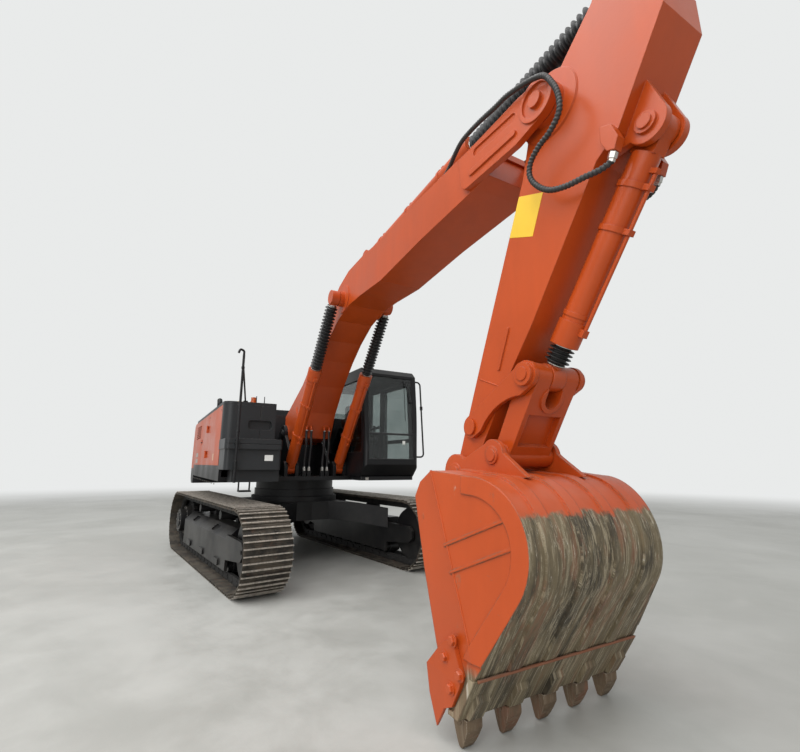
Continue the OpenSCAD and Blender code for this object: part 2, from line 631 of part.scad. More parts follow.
module consoles() machine() color(dark) {
    box([cab_back + cab_t + 5, cab_y + cab_t + 5, cab_z + cab_t],
        [1500, cab_y1 - cab_t - 5, cab_z + cab_t + 60]);
    box([430, seat_mid - 220, cab_z + cab_t + 60], [900, seat_mid + 220, 1960]);
    both_about(seat_mid) {
        box([480, seat_mid + 262, cab_z + cab_t + 59], [1010, seat_mid + 350, 2150]);
        translate([960, seat_mid + 306, 2149])
            { cylinder(r = 14, h = 120); translate([0, 0, 119]) cylinder(r = 28, h = 90); }
        translate([1350, seat_mid + 90, cab_z + cab_t + 59])
            { cylinder(r = 12, h = 620); translate([0, 0, 619]) cylinder(r = 22, h = 90); }
    }
    box([1100, cab_y + cab_t + 8, 1990], [1180, cab_y + cab_t + 60, 2260]);
    box([1120, cab_y + cab_t + 8, cab_z + cab_t + 59], [1160, cab_y + cab_t + 50, 1991]);
}
// The given pieces on both sides of y
module both_about(y) { children(); translate([0, 2 * y, 0]) mirror([0, 1, 0]) children(); }
module handrails() machine() color(black) {
    // Mirror post on the right, with a brace from the cover
    translate([post[0], post[1], deck_z]) cylinder(r = post_r, h = post_top - deck_z);
    for (q = [[low_x1, low_z0 + 40], [low_x1 + ledge_step, ledge_z0 + 60]])
        box([q[0] + seat, post[1] - 22, q[1]], [post[0] + 4, post[1] + 22, q[1] + 34]);
    strut([brace[0], brace[1], panel_z + wall_t + 12], [post[0], post[1], post_top - 120], 12);
    box([brace[0] - 30, brace[1] - 30, panel_z + wall_t + seat],
        [brace[0] + 30, brace[1] + 30, panel_z + wall_t + 24]);
    // Grab rail on the cab's front corner, leaning as the cab's front does, with a mirror's clamp on it
    tube([for (q = concat([[0, 0]], arc([rail_out_y - rail_bend, rail_bend], rail_bend, -90, 0, 4),
        arc([rail_out_y - rail_bend, rail_l - rail_bend], rail_bend, 0, 90, 4), [[0, rail_l]]))
            rail_at(q)], rail_r, [1, 0.02, 0]);
    translate(rail_at([rail_out_y, rail_l * 0.62])) cylinder(r = 24, h = 60);
}
// Straight round bar from p to q
module strut(p, q, r) let (d = q - p, l = norm(d)) translate(p)
    rotate([0, acos(d[2] / l), atan2(d[1], d[0])]) cylinder(r = r, h = l);
post = [1800, -side_y + 130];
post_r = 17;
post_top = 3080;
brace = [1210, -side_y + 300];
rail_r = 14;
rail_l = 1280;
rail_bend = 60;
rail_out_y = 140;
rail_lean = 5.1;
rail_foot = [cab_front - 65, 1720];
function rail_at(q) = [rail_foot[0] - q[1] * sin(rail_lean), cab_y1 + seat + q[0],
    rail_foot[1] + q[1] * cos(rail_lean)];

// Hanging step below the right front
module steps() machine() color(black) {
    box([low_x1 - 160, -side_y + 220, deck_z - 130], [low_x1 - 20, -side_y + 380, deck_z - 110]);
    for (y = [-side_y + 220, -side_y + 364]) box([low_x1 - 140, y, deck_z - 111],
        [low_x1 - 104, y + 16, deck_z - seat]);
}
module lamps() machine() color("#c8641e") {
    translate([1190, -side_y + 420, panel_z + wall_t + seat])
        { cylinder(r = 46, h = 22); cylinder(r = 36, h = 86); }
}

// Boom

boom_upper = [[-40, 350], [1010, 490], [1500, 640], [1840, 800], [2350, 1010], [2810, 1150],
    [3150, 1155], [3600, 1040], [4040, 880], [4550, 760], [5800, 380], [6250, 190]];
boom_lower = [[60, -170], [720, -330], [1040, -10], [1450, 260], [1890, 470], [2250, 600], [2650, 680],
    [3050, 660], [3400, 560], [3920, 380], [4770, 210], [5600, 10], [5760, -20]];
boom_pin_r = 55;
module boom() on_boom() color(paint) difference() {
    union() {
        across(-boom_hw, boom_hw) {
            polygon(concat([[-80, 150]], boom_upper, [[5760, 300]], reversed(boom_lower)));
            circle(165);
        }
        across(-boom_hw - 20, boom_hw + 20) circle(165);
        both() {
            across(boom_hw - 1, boom_hw + 12) polygon([[-60, 150], [640, 250], [700, -230], [60, -165]]);
            across(boom_hw - 1, cheek_y) cheek();
            across(cheek_y - 1, cheek_y + 14) {
                oblong([5650, 110], [6120, -30], 24);
                translate([boom_len, 0]) difference() { circle(150); circle(118); }
            }
            bar([2910, 850], 105, boom_hw - 1, lug_in);
            across(boom_hw - 1, boom_hw + 16) translate([2910, 850]) circle(190);
            across(cyl_eye_hw + gap, cyl_eye_hw + gap + 45) {
                translate([3378, 1252]) circle(100);
                polygon([[3180, 1100], [3290, 1252], [3470, 1252], [3500, 1120], [3560, 1000],
                    [3300, 1000]]);
            }
            for (y = foot_hose_y) foot_pipe(y);
        }
        bar([boom_len, 0], boom_pin_r, -cheek_y - 26, cheek_y + 26);
        bar([3378, 1252], base_pin_r, -cyl_eye_hw - gap - 60, cyl_eye_hw + gap + 60);
    }
    both() across(cheek_y - 12, cheek_y + 1) oblong([5760, 240], [6150, 105], 34);
    bar([0, 0], foot_pin_r + fit, -boom_hw - 60, boom_hw + 60);
    difference() {
        across(-boom_hw, boom_hw) polygon([[5780, -400], [5780, 700], [6900, 700], [6900, -400]]);
        bar([boom_len, 0], boom_pin_r, -boom_hw - 1, boom_hw + 1);
    }
}
cheek_y = boom_hw + 52;
// Cheek of the fork that holds the arm
module cheek() {
    translate([boom_len, 0]) circle(150);
    polygon(concat([[5560, 370], [6250, 195], [boom_len, 150], [boom_len, -150], [6100, -130]],
        arc([5590, 120], 90, 250, 180, 5)));
}
// Oil pipe out of the boom's underside, bent down at rest
foot_pipe_r = 17;
foot_pipe_at = [1085, 2200];
foot_pipe_bend = 50;
foot_pipe_leg = 20;
module foot_pipe(y) translate([0, y, 0]) rotate([0, boom_rest, 0])
    translate([foot_pipe_at[0] - foot[0], 0, foot_pipe_at[1] - foot[1]]) {
    translate([-160, 0, 0]) rotate([0, 90, 0]) cylinder(r = foot_pipe_r, h = 160);
    translate([0, 0, -foot_pipe_bend]) rotate([90, 0, 0]) rotate_extrude(angle = 90)
        translate([foot_pipe_bend, 0]) circle(foot_pipe_r);
    translate([foot_pipe_bend, 0, -foot_pipe_bend - foot_pipe_leg])
        cylinder(r = foot_pipe_r, h = foot_pipe_leg);
}
module boom_pipes() on_boom() color(paint) both() {
    line = [for (i = [3:9]) boom_upper[i]];
    across(184, 216) polygon(concat(moved_aside(line, seat), reversed(moved_aside(line, 32))));
    across(184, 216) polygon([[4990, 640], [5215, 575], [5215, 620], [5000, 690]]);
}

// A cylinder's barrel and rod lie along X from the barrel's pin at the origin
module barrel(l, r, bore, rod_r, eye_r, hw, clamps, turn) difference() {
    union() {
        bar([0, 0], eye_r, -hw, hw);
        box([0, -hw + 8, -eye_r + 12], [eye_r + 45, hw - 8, eye_r - 12]);
        rotate([0, 90, 0]) translate([0, 0, eye_r + 40]) cylinder(r = r, h = l - eye_r - 40);
        rotate([0, 90, 0]) translate([0, 0, l - head_l]) cylinder(r = r + 12, h = head_l);
        rotate([0, 90, 0]) translate([0, 0, l - head_l - 60]) cylinder(r = r + 5, h = 30);
        rotate([turn, 0, 0]) {
            for (x = clamps) {
                rotate([0, 90, 0]) translate([0, 0, x]) cylinder(r = r + 9, h = 36);
                box([x, -26, r], [x + 36, 26, r + 50]);
            }
            bar_x([clamps[0] - 80, 0, r + 30], l - head_l / 2 - clamps[0] + 40, 13);
            box([l - head_l / 2 - 60, -24, r], [l - head_l / 2 - 10, 24, r + 46]);
            box([clamps[0] - 90, -20, r - 6], [clamps[0] - 60, 20, r + 46]);
        }
    }
    rotate([0, 90, 0]) translate([0, 0, eye_r + 50]) cylinder(r = bore, h = l - eye_r - 95);
    rotate([0, 90, 0]) translate([0, 0, l - 60]) cylinder(r = rod_r + fit, h = 100);
    bar([0, 0], base_pin_r + fit, -hw - 1, hw + 1);
}
head_l = 170;
module bar_x(p, l, r) translate(p) rotate([0, 90, 0]) cylinder(r = r, h = l);
module rod(x0, x1, bore, rod_r, eye_r, hw) {
    rotate([0, 90, 0]) translate([0, 0, x0]) cylinder(r = rod_r, h = x1 - x0 - eye_r / 2);
    rotate([0, 90, 0]) translate([0, 0, x0]) cylinder(r = bore - fit, h = 40);
    bar([x1, 0], eye_r, -hw, hw);
}
// Bellows over a rod, with folds of the given pitch
module boot(x0, x1, r0, r1, fold) rotate([0, 90, 0]) {
    n = round((x1 - x0) / fold);
    s = (x1 - x0) / n;
    rotate_extrude() polygon(concat([[r0 - 12, x0], [r0, x0]],
        [for (i = [0:n - 1]) each [[r1, x0 + (i + 0.5) * s], [r0, x0 + (i + 1) * s]]], [[r0 - 12, x1]]));
}

boom_cyl_len = norm(boom_cyl_eye - boom_cyl_base);
boom_barrel_l = 1750;
boom_rod_in = 896;
module boom_barrels() from_to(boom_cyl_base, boom_cyl_eye) color(paint) for (s = [-1, 1])
    translate([0, s * boom_cyl_y, 0])
    barrel(boom_barrel_l, boom_cyl_r, boom_cyl_r - 14, 50, 95, cyl_eye_hw, [620, 1150], 180);
module boom_rods() from_to(boom_cyl_base, boom_cyl_eye) color(steel) for (s = [-1, 1])
    translate([0, s * boom_cyl_y, 0]) {
    rod(boom_rod_in, boom_cyl_len, boom_cyl_r - 14, 50, 95, cyl_eye_hw);
}
module boom_boots() from_to(boom_cyl_base, boom_cyl_eye) color(black) for (s = [-1, 1])
    translate([0, s * boom_cyl_y, 0])
    boot(boom_barrel_l + seat, boom_cyl_len - 115, 66, 84, 46);

// Arm

arm_front = [[-800, 420], [-560, 640], [-330, 740], [320, 650], [470, 550], [1500, 340], [1836, 250],
    [2650, 100]];
arm_rear = [[-800, 180], [-580, 190], [-210, 20], [0, -150], [480, -90], [1750, -100], [2650, -100]];
arm_eye_hw = 60;
// Where the hoses end on their brackets, along the arm and across it
hose_end_s = 455;
hose_end_y = 222;
module arm() on_arm() color(paint) {
    bar([276, 762], base_pin_r, -arm_eye_hw - gap - 1, arm_eye_hw + gap + 1);
    difference() {
    union() {
        across(-arm_hw, arm_hw) {
            polygon(concat(arm_front, [[arm_len, 0]], reversed(arm_rear)));
            translate([-800, 300]) circle(135);
            translate([arm_len, 0]) circle(112);
        }
        bar([0, 0], 150, -boom_hw + gap, boom_hw - gap);
        both() across(arm_eye_hw + gap, arm_eye_hw + gap + 48) {
            translate([276, 762]) circle(118);
            polygon([[20, 690], [200, 850], [276, 762], [370, 690], [430, 560], [276, 500]]);
        }
        both() bar([276, 762], 64, arm_eye_hw + gap + 47, arm_eye_hw + gap + 66);
        both() bar([276, 762], 42, arm_eye_hw + gap + 65, arm_eye_hw + gap + 78);
        bar([arm_len, 0], 118, -237, 237);
        bar([2348, 0], 45, -arm_hw - 60, arm_hw + 60);
        both() {
            bar([2348, 0], 62, arm_hw + gap + 36 + 2, arm_hw + 60);
            across(arm_hw - 1, arm_hw + 10) {
                circle(245);
                translate([-800, 300]) circle(112);
                polygon(concat(arc([1560, 120], 12, 90, 270, 4), arc([1860, 120], 12, -90, 90, 4)));
            }
            across(arm_hw - 6, hose_end_y + 30)
                polygon([[300, 560], [400, 600], [hose_end_s, 660], [hose_end_s, 710], [380, 710],
                [300, 640]]);
        }
    }
    // Slots for the rod's eye at the tail and for the barrel's eye in front
    across(-arm_eye_hw - gap, arm_eye_hw + gap)
        polygon([[-1000, 100], [-430, 100], [-430, 500], [-600, 900], [-1000, 900]]);
    across(-arm_eye_hw - gap, arm_eye_hw + gap)
        polygon(concat(arc([276, 762], 150, 180, 360, 12), [[426, 1000], [126, 1000]]));
    bar([arm_len, 0], 50 + fit, -300, 300);
    bar([0, 0], boom_pin_r + fit, -300, 300);
    }
}
arm_cyl_len = norm(arm_cyl_eye - arm_cyl_base);
arm_barrel_l = 2200;
module arm_barrel() from_to(arm_cyl_base, arm_cyl_eye) color(paint)
    barrel(arm_barrel_l, arm_cyl_r, arm_cyl_r - 15, 57, 100, arm_eye_hw, [380, 1050, 1700], 0);
module arm_rod() from_to(arm_cyl_base, arm_cyl_eye) color(steel)
    rod(1580, arm_cyl_len, arm_cyl_r - 15, 57, 100, arm_eye_hw);
module arm_boot() from_to(arm_cyl_base, arm_cyl_eye) color(black)
    boot(arm_barrel_l + seat, arm_cyl_len - 150, 72, 92, 50);

bucket_cyl_len = norm(link_top - bucket_cyl_base);
bucket_barrel_l = 1350;
module bucket_barrel() from_to(bucket_cyl_base, link_top) color(paint)
    barrel(bucket_barrel_l, bucket_cyl_r, bucket_cyl_r - 14, 50, 95, arm_eye_hw, [300, 560], 0);
module bucket_rod() from_to(bucket_cyl_base, link_top) color(steel)
    rod(206, bucket_cyl_len, bucket_cyl_r - 14, 50, 95, arm_eye_hw);
module bucket_boot() from_to(bucket_cyl_base, link_top) color(black)
    boot(bucket_barrel_l + seat, bucket_cyl_len - 100, 66, 84, 24);

lever_y0 = arm_hw + gap;
lever_y1 = lever_y0 + 36;
module bucket_lever() from_to(lever_pin, link_top) color(paint) both() {
    ll = norm(link_top - lever_pin);
    difference() {
        across(lever_y0, lever_y1) difference() {
            union() {
                circle(85);
                translate([ll, 0]) circle(95);
                polygon([[0, 85], [ll, 95], [ll, -95], [0, -85]]);
            }
            translate([ll * 0.47, -ll * 0.78]) circle(ll * 0.78 - 30);
        }
        bar([0, 0], 45 + fit, 0, 400);
    }
    bar([ll, 0], 80, lever_y1 - 1, lever_y1 + 30);
    bar([ll, 0], 48, lever_y1 + 29, lever_y1 + 38);
}
module bucket_link() from_to(link_foot, link_top) color(paint) {
    kl = norm(link_top - link_foot);
    difference() {
        union() {
            across(-link_y1, link_y1) polygon([[0, 82], [kl - 170, 88], [kl, 88], [kl, -88],
                [kl - 170, -80], [0, -70]]);
            across(-link_y1, link_y1) translate([kl, 0]) circle(88);
            bar([0, 0], 82, -235, 235);
            translate([kl - 200 + link_y0, 0, -94]) cylinder(r = link_y0 + 34, h = 190);
        }
        translate([kl - 200 + link_y0, 0, -200]) cylinder(r = link_y0, h = 400);
        box([kl - 200 + link_y0, -link_y0, -200], [kl + 200, link_y0, 200]);
        box([110, -link_y1 + 40, -200], [kl - 260, link_y1 - 40, -30]);
        bar([0, 0], 45 + fit, -240, 240);
    }
}
// Inner and outer faces of the link's two sides
link_y0 = arm_eye_hw + gap;
link_y1 = arm_hw - 2;

// Bucket, about its pin on the arm

// Side outline: a straight top, a round back and a straight lip, with the mouth in front
back_c = [616, -440];
back_r = 428;
back_end = -33;
lip = [548, -1350];
mouth_top = [[84, -160], [150, -60], [284, 18]];
mouth = [[460, -1350], [334, -1020], [204, -630], [124, -320]];
module bucket_outline(t) {
    translate(back_c) circle(back_r - t, $fn = 128);
    polygon(concat([for (q = mouth_top) q + [0, -t]], [back_c + [0, back_r - t], back_c,
        back_c + (back_r - t) * [cos(back_end), sin(back_end)], lip - [t, -t / 2]],
        [for (q = mouth) q - [t > 0 ? 400 : 0, t > 0 ? 60 : 0]]));
}
// Plan seen along the fold of the side plates, which taper behind it
fold_top = [284, 18];
fold_tilt = 21.5;
taper = 12.5;
module bucket_plan(t) {
    half = [[-900, bucket_w / 2], [0, bucket_w / 2], [1100, bucket_w / 2 - 1100 * tan(taper)]];
    translate([fold_top[0], 0, fold_top[1]]) rotate([0, -fold_tilt, 0]) translate([0, 0, -2000])
        linear_extrude(3000)
        polygon(concat([for (q = half) q - [0, t]], [for (q = reversed(half)) [q[0], t - q[1]]]));
}
ear_y0 = arm_hw + 2 * gap + 36;
ear_y1 = ear_y0 + 40;
// Bands left proud on the side plates and across the back, and the thick lip with the teeth's noses
band_w = 112;
band_t = 11;
lip_top = -1105;
tooth_y = [for (i = [0:tooth_n - 1]) (i / (tooth_n - 1) - 0.5) * (bucket_w - 190)];
module bucket_rim(t0, t1) difference() { bucket_outline(t0); bucket_outline(t1); }
module bucket() on_bucket() color(paint) {
    difference() {
        union() {
            intersection() { across(-bucket_w, bucket_w) bucket_outline(0); bucket_plan(0); }
            intersection() {
                across(-bucket_w, bucket_w) intersection() {
                    bucket_rim(0, band_w);
                    translate([560, -1020]) square([700, 1200]);
                }
                bucket_plan(-band_t);
            }
            intersection() {
                across(-bucket_w, bucket_w) { rib([440, -438], [911, -235]);
                    rib([499, -586], [973, -374]); }
                bucket_plan(-8);
            }
            for (y = wear_y) across(y - wear_w / 2, y + wear_w / 2) intersection() {
                bucket_outline(-14);
                translate([300, -1090]) square([900, 1170]);
            }
        }
        intersection() { across(-bucket_w, bucket_w) bucket_outline(bucket_t); bucket_plan(bucket_t); }
    }
    across(-bucket_w / 2 - 14, bucket_w / 2 + 14)
        polygon([[716, lip_top], [560, -1356], [470, -1356], [474, -1330], [520, -1325], [670, lip_top]]);
    for (y = tooth_y) across(y - 50, y + 50) polygon([[652, -1207], [664, -1243], [592, -1354],
        [550, -1357], [550, nose_z], [480, nose_z], [480, -1357], [456, -1352], [456, -1320],
            [520, -1215], [560, -1235]]);
    both() across(ear_y0, ear_y1) {
        circle(140);
        translate([427, 126]) circle(110);
        polygon([[-120, 60], [100, 100], [427, 236], [560, 120], [760, -20], [620, -30], [300, -5],
            [160, -75], [84, -170], [0, -140], [-120, -60]]);
    }
    both() bar([427, 126], 64, ear_y1 - 1, ear_y1 + 12);
    both() bar([0, 0], 72, ear_y1 - 1, ear_y1 + 12);
    bar([0, 0], 50, -ear_y1 - 20, ear_y1 + 20);
    bar([427, 126], 45, -ear_y1 - 20, ear_y1 + 20);
}
nose_z = -1405;
wear_w = 90;
wear_y = [-430, -145, 145, 430];
module rib(p, q) oblong(p, q, 9);
module bucket_teeth() on_bucket() color(steel) for (y = tooth_y) difference() {
    across(y - 62, y + 62) polygon([[452, -1362], [585, -1362], [575, -1440], [490, -1535], [458, -1535]]);
    across(y - 50 - seat, y + 50 + seat) polygon([[480 - seat, nose_z - seat],
        [550 + seat, nose_z - seat], [562, -1300], [468, -1300]]);
    for (s = [-1, 1]) translate([0, y + s * 62, 0]) rotate([s * 14, 0, 0]) translate([0, s * 40, -1500])
        cube([2000, 80, 400], center = true);
}
module side_cutters() on_bucket() color(paint) both() difference() {
    across(bucket_w / 2 + seat, bucket_w / 2 + 32)
        polygon([[538, -929], [440, -985], [272, -1152], [290, -1310], [353, -1468],
        [440, -1340], [520, -1300], [605, -1169], [628, -1108]]);
    along(0, 900) polygon([[bucket_w / 2 + 40, -1500], [bucket_w / 2 + 40, -1000],
        [bucket_w / 2 + 30, -1180], [bucket_w / 2 + 12, -1500]]);
}

// Hoses from the pipes on the boom's tip to the arm. Points are along, across and out from the boom, then from the arm.
hose_r = 20;
hose_from_boom = [[5215.3, 200, 598], [5260, 200, 598], [5370, 222, 582], [5520, 275, 540],
    [5680, 325, 480], [5900, 352, 385], [6080, 362, 300],
    [6230, 368, 235]];
hose_on_arm = [[-110, 372, 70], [-20, 368, 200], [80, 360, 275], [180, 352, 300], [280, 345, 250],
    [350, 338, 170],
    [440, 330, 115], [530, 322, 130], [600, 312, 210], [640, 300, 320], [630, 285, 440], [585, 262, 560],
    [550, 240, 645], [505, hose_end_y, 685], [hose_end_s + seat, hose_end_y, 685]];
function spread(q, y) = [q[0], y, q[1]];
hose_route = concat([for (q = hose_from_boom) spread(boom_at([q[0], q[2]]), q[1])],
    [for (q = hose_on_arm) spread(arm_at([q[0], q[2]]), q[1])]);
hose_sides = 10;
function unit(v) = v / norm(v);
function tangent(p, i) = unit(p[min(i + 1, len(p) - 1)] - p[max(i - 1, 0)]);
module tube(p, r, side = [0, 1, 0.02]) {
    n = len(p);
    pts = [for (i = [0:n - 1]) let (t = tangent(p, i), u = unit(cross(t, side)), v = cross(t, u))
        for (k = [0:hose_sides - 1]) p[i] + r * (cos(k * 360 / hose_sides)
            * u + sin(k * 360 / hose_sides) * v)];
    polyhedron(pts, concat([[for (k = [0:hose_sides - 1]) k]],
        [for (i = [0:n - 2], k = [0:hose_sides - 1]) let (a = i * hose_sides, m = (k + 1) % hose_sides)
            [a + k, a + hose_sides + k, a + hose_sides + m, a + m]],
        [[for (k = [hose_sides - 1:-1:0]) (n - 1) * hose_sides + k]]), convexity = 6);
}
module hoses() machine() color(black) both() tube(hose_route, hose_r);

// Hoses from the deck's blocks to the oil pipes below the boom's foot, in X and Z of the machine
foot_hose_r = 19;
foot_hose_line = [[hose_block[0], hose_block[1] + seat], [hose_block[0], 1560], [1102, 1680],
    [1128, 1800], [1152, 1920],
    [foot_pipe_at[0] + foot_pipe_bend, 2030], [foot_pipe_at[0] + foot_pipe_bend,
        foot_pipe_at[1] - foot_pipe_bend - foot_pipe_leg - seat]];
module foot_hoses() machine() color(black) both() for (y = foot_hose_y)
    tube([for (q = foot_hose_line) spread(q, y)], foot_hose_r);

carbody();
slew_ring();
track_frame_right();
track_frame_left();
track_right();
track_left();
sprocket_right();
sprocket_left();
idler_right();
idler_left();
rollers_right();
rollers_left();
main_deck();
counterweight();
right_box();
right_panels();
right_door();
left_panels();
left_door();
top_cover();
engine_hood();
engine_block();
exhaust();
cab_shell();
cab_glass();
cab_door();
door_glass();
seat();
consoles();
handrails();
steps();
lamps();
foot_hoses();
boom();
boom_pipes();
boom_barrels();
boom_rods();
boom_boots();
arm();
arm_barrel();
arm_rod();
arm_boot();
hoses();
bucket_barrel();
bucket_rod();
bucket_boot();
bucket_lever();
bucket_link();
bucket();
bucket_teeth();
side_cutters();
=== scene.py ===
import json
from math import atan2, cos, exp, pi, radians, sin, tan

import bpy
from mathutils import Matrix, Vector
from mathutils.geometry import interpolate_bezier


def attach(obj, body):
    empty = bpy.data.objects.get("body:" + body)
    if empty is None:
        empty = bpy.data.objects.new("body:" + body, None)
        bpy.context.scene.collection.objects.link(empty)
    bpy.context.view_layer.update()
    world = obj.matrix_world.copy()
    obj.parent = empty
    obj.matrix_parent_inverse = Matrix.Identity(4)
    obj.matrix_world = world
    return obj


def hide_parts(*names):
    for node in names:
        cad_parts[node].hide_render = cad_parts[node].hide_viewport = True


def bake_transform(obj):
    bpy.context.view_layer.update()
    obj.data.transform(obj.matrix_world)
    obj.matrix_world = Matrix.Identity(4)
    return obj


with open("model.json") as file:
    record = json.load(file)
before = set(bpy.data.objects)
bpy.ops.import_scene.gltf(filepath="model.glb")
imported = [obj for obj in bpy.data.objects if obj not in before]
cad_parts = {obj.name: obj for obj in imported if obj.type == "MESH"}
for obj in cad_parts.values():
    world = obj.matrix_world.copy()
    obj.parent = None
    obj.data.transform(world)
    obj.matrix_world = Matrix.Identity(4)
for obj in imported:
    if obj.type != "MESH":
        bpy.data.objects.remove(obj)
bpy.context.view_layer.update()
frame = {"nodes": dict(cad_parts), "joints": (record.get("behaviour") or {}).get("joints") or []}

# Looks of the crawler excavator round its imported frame.
# Metres: +X ahead along the boom, +Y to the machine's left, +Z up.

JOINT = {j["name"]: j for j in frame["joints"]}
NODE = frame["nodes"]

# Angles of the parked machine, as in the part's source
BOOM_REST = radians(17.9)
ARM_REST = radians(-112.3)
PARKED_TURN = radians(6.5)

# Sizes of the part's own pieces that the new ones sit on
BOOM_HALF_W = 0.260
ARM_HALF_W = 0.196
BUCKET_W = 1.406
BOOM_CYL_Y = 0.400
SIDE_Y = 1.480
GAUGE = 2.590
TRACK_H = 1.050
TRACK_L = 4.850
SHOES = 48
SHOE_TOP = 0.042
PANEL_Z = 2.450
CAB_SIDE_Y = 1.485
CAB_FRONT = 1.845
CAB_Z = 1.405


# Places: a matrix for each of the machine's own frames, so that sizes are those of the part's source

def turned(origin, angle):
    """Frame with X along angle above level, Y to the left, seated at origin."""
    return Matrix.Translation(origin) @ Matrix.Rotation(-angle, 4, "Y")


def pin(joint):
    return Vector(JOINT[joint]["pos_m"])


def along_rod(tilt, slide):
    axis = JOINT[slide]["axis"]
    return turned(pin(tilt), atan2(axis[2], axis[0]))


ON_MACHINE = Matrix.Translation((pin("swing").x, 0, 0))
ON_UNDER = ON_MACHINE @ Matrix.Rotation(PARKED_TURN, 4, "Z")
ON_BOOM = turned(pin("boom_lift"), BOOM_REST)
ON_ARM = turned(pin("arm_swing"), ARM_REST)
ON_BUCKET = turned(pin("bucket_curl"), 0)
ON_BOOM_CYL = along_rod("boom_barrel_tilt", "boom_rod_slide")
ON_ARM_CYL = along_rod("arm_barrel_tilt", "arm_rod_slide")
ON_BUCKET_CYL = along_rod("bucket_barrel_tilt", "bucket_rod_slide")
MIRROR = Matrix.Diagonal((1, -1, 1, 1))


def move(x=0.0, y=0.0, z=0.0):
    return Matrix.Translation((x, y, z))


def turn(degrees, axis):
    return Matrix.Rotation(radians(degrees), 4, axis)


def upright(x, y, z):
    """Turns X up, at this spot."""
    return move(x, y, z) @ turn(-90, "Y")


def facing(y_sign):
    """Turns X to the left or to the right of the machine."""
    return turn(90 * y_sign, "Z")


def span(node, frame_matrix):
    """Lowest and highest corner of a node in one of the machine's own frames."""
    back = frame_matrix.inverted()
    points = [back @ v.co for v in NODE[node].data.vertices]
    return [Vector([pick_end(p[i] for p in points) for i in range(3)]) for pick_end in (min, max)]


# Modelling helpers: each starts from a primitive and shapes it with operators

def mode(kind):
    bpy.ops.object.mode_set(mode=kind)


def deselect():
    if bpy.context.object and bpy.context.object.mode != "OBJECT":
        mode("OBJECT")
    bpy.ops.object.select_all(action="DESELECT")


def pick(*objects):
    """These objects are selected, and the last is the active one."""
    deselect()
    for o in objects:
        o.select_set(True)
    bpy.context.view_layer.objects.active = objects[-1]


def edit(o, kind="FACE", all_of_it=False):
    pick(o)
    mode("EDIT")
    bpy.ops.mesh.select_mode(type=kind)
    bpy.ops.mesh.select_all(action="SELECT" if all_of_it else "DESELECT")


def select_faces(o, test):
    """Selects the faces whose centre and normal pass the test, and goes back to edit mode."""
    edit(o)
    mode("OBJECT")
    for face in o.data.polygons:
        face.select = bool(test(face.center, face.normal))
    mode("EDIT")


def done(o, angle=35):
    """Leaves edit mode with outward faces, smooth but for edges sharper than angle."""
    edit(o, all_of_it=True)
    bpy.ops.mesh.remove_doubles(threshold=1e-5)
    bpy.ops.mesh.normals_make_consistent(inside=False)
    mode("OBJECT")
    bpy.ops.object.shade_smooth_by_angle(angle=radians(angle))
    deselect()
    return o


def modify(o, kind, **settings):
    pick(o)
    m = o.modifiers.new(kind.title(), kind)
    for key, value in settings.items():
        setattr(m, key, value)
    bpy.ops.object.modifier_apply(modifier=m.name)
    return o


def place(o, matrix):
    """Moves the mesh itself, so that the object stays at the origin."""
    pick(o)
    o.matrix_world = matrix @ o.matrix_world
    bpy.ops.object.transform_apply(location=True, rotation=True, scale=True)
    return o


def slab(lo, hi, edge=0.003, segments=2):
    """A block from corner to corner with rounded edges."""
    deselect()
    lo, hi = Vector(lo), Vector(hi)
    bpy.ops.mesh.primitive_cube_add(size=1, location=(lo + hi) / 2, scale=hi - lo)
    o = bpy.context.object
    bpy.ops.object.transform_apply(location=True, rotation=False, scale=True)
    if edge:
        edit(o, "EDGE", True)
        bpy.ops.mesh.bevel(offset=edge, segments=segments, affect="EDGES")
    return done(o)


def lathe(profile, sides=24, angle=35):
    """A body turned about X: rings at (x, radius), extruded one from the other, with both ends filled."""
    deselect()
    (x0, r0), rest = profile[0], profile[1:]
    bpy.ops.mesh.primitive_circle_add(vertices=sides, radius=r0, location=(x0, 0, 0), rotation=(0, pi / 2, 0))
    o = bpy.context.object
    bpy.ops.object.transform_apply(location=True, rotation=True, scale=True)
    edit(o, "EDGE", True)
    x, r = x0, r0
    for x1, r1 in rest:
        bpy.ops.mesh.extrude_edges_move(TRANSFORM_OT_translate={"value": (x1 - x, 0, 0)})
        bpy.ops.transform.resize(value=(1, r1 / r, r1 / r), center_override=(x1, 0, 0))
        x, r = x1, r1
    bpy.ops.mesh.select_all(action="SELECT")
    bpy.ops.mesh.fill_holes(sides=0)
    return done(o, angle)


def rounded_line(points, bend):
    """The points of a line whose corners are arcs of radius bend."""
    points = [Vector(p) for p in points]
    line = [points[0]]
    for before, corner, after in zip(points, points[1:], points[2:]):
        a, b = (before - corner).normalized(), (after - corner).normalized()
        half = a.angle(b) / 2
        reach = min(bend / tan(half), 0.45 * (before - corner).length, 0.45 * (after - corner).length)
        start, end = corner + reach * a, corner + reach * b
        for i in range(7):
            t = i / 6
            line.append((1 - t) ** 2 * start + 2 * t * (1 - t) * corner + t * t * end)
    return line + [points[-1]]


def pipe(points, radius, bend=0.0, sides=3):
    """A round bar or pipe along a line with bent corners."""
    deselect()
    line = rounded_line(points, bend) if bend else [Vector(p) for p in points]
    bpy.ops.curve.primitive_bezier_curve_add()
    o = bpy.context.object
    curve = o.data
    curve.splines.clear()
    spline = curve.splines.new("POLY")
    spline.points.add(len(line) - 1)
    for point, co in zip(spline.points, line):
        point.co = (*co, 1)
    curve.dimensions = "3D"
    curve.bevel_depth = radius
    curve.bevel_resolution = sides
    curve.use_fill_caps = True
    pick(o)
    o.matrix_world = Matrix.Identity(4)
    bpy.ops.object.convert(target="MESH")
    return done(bpy.context.object)


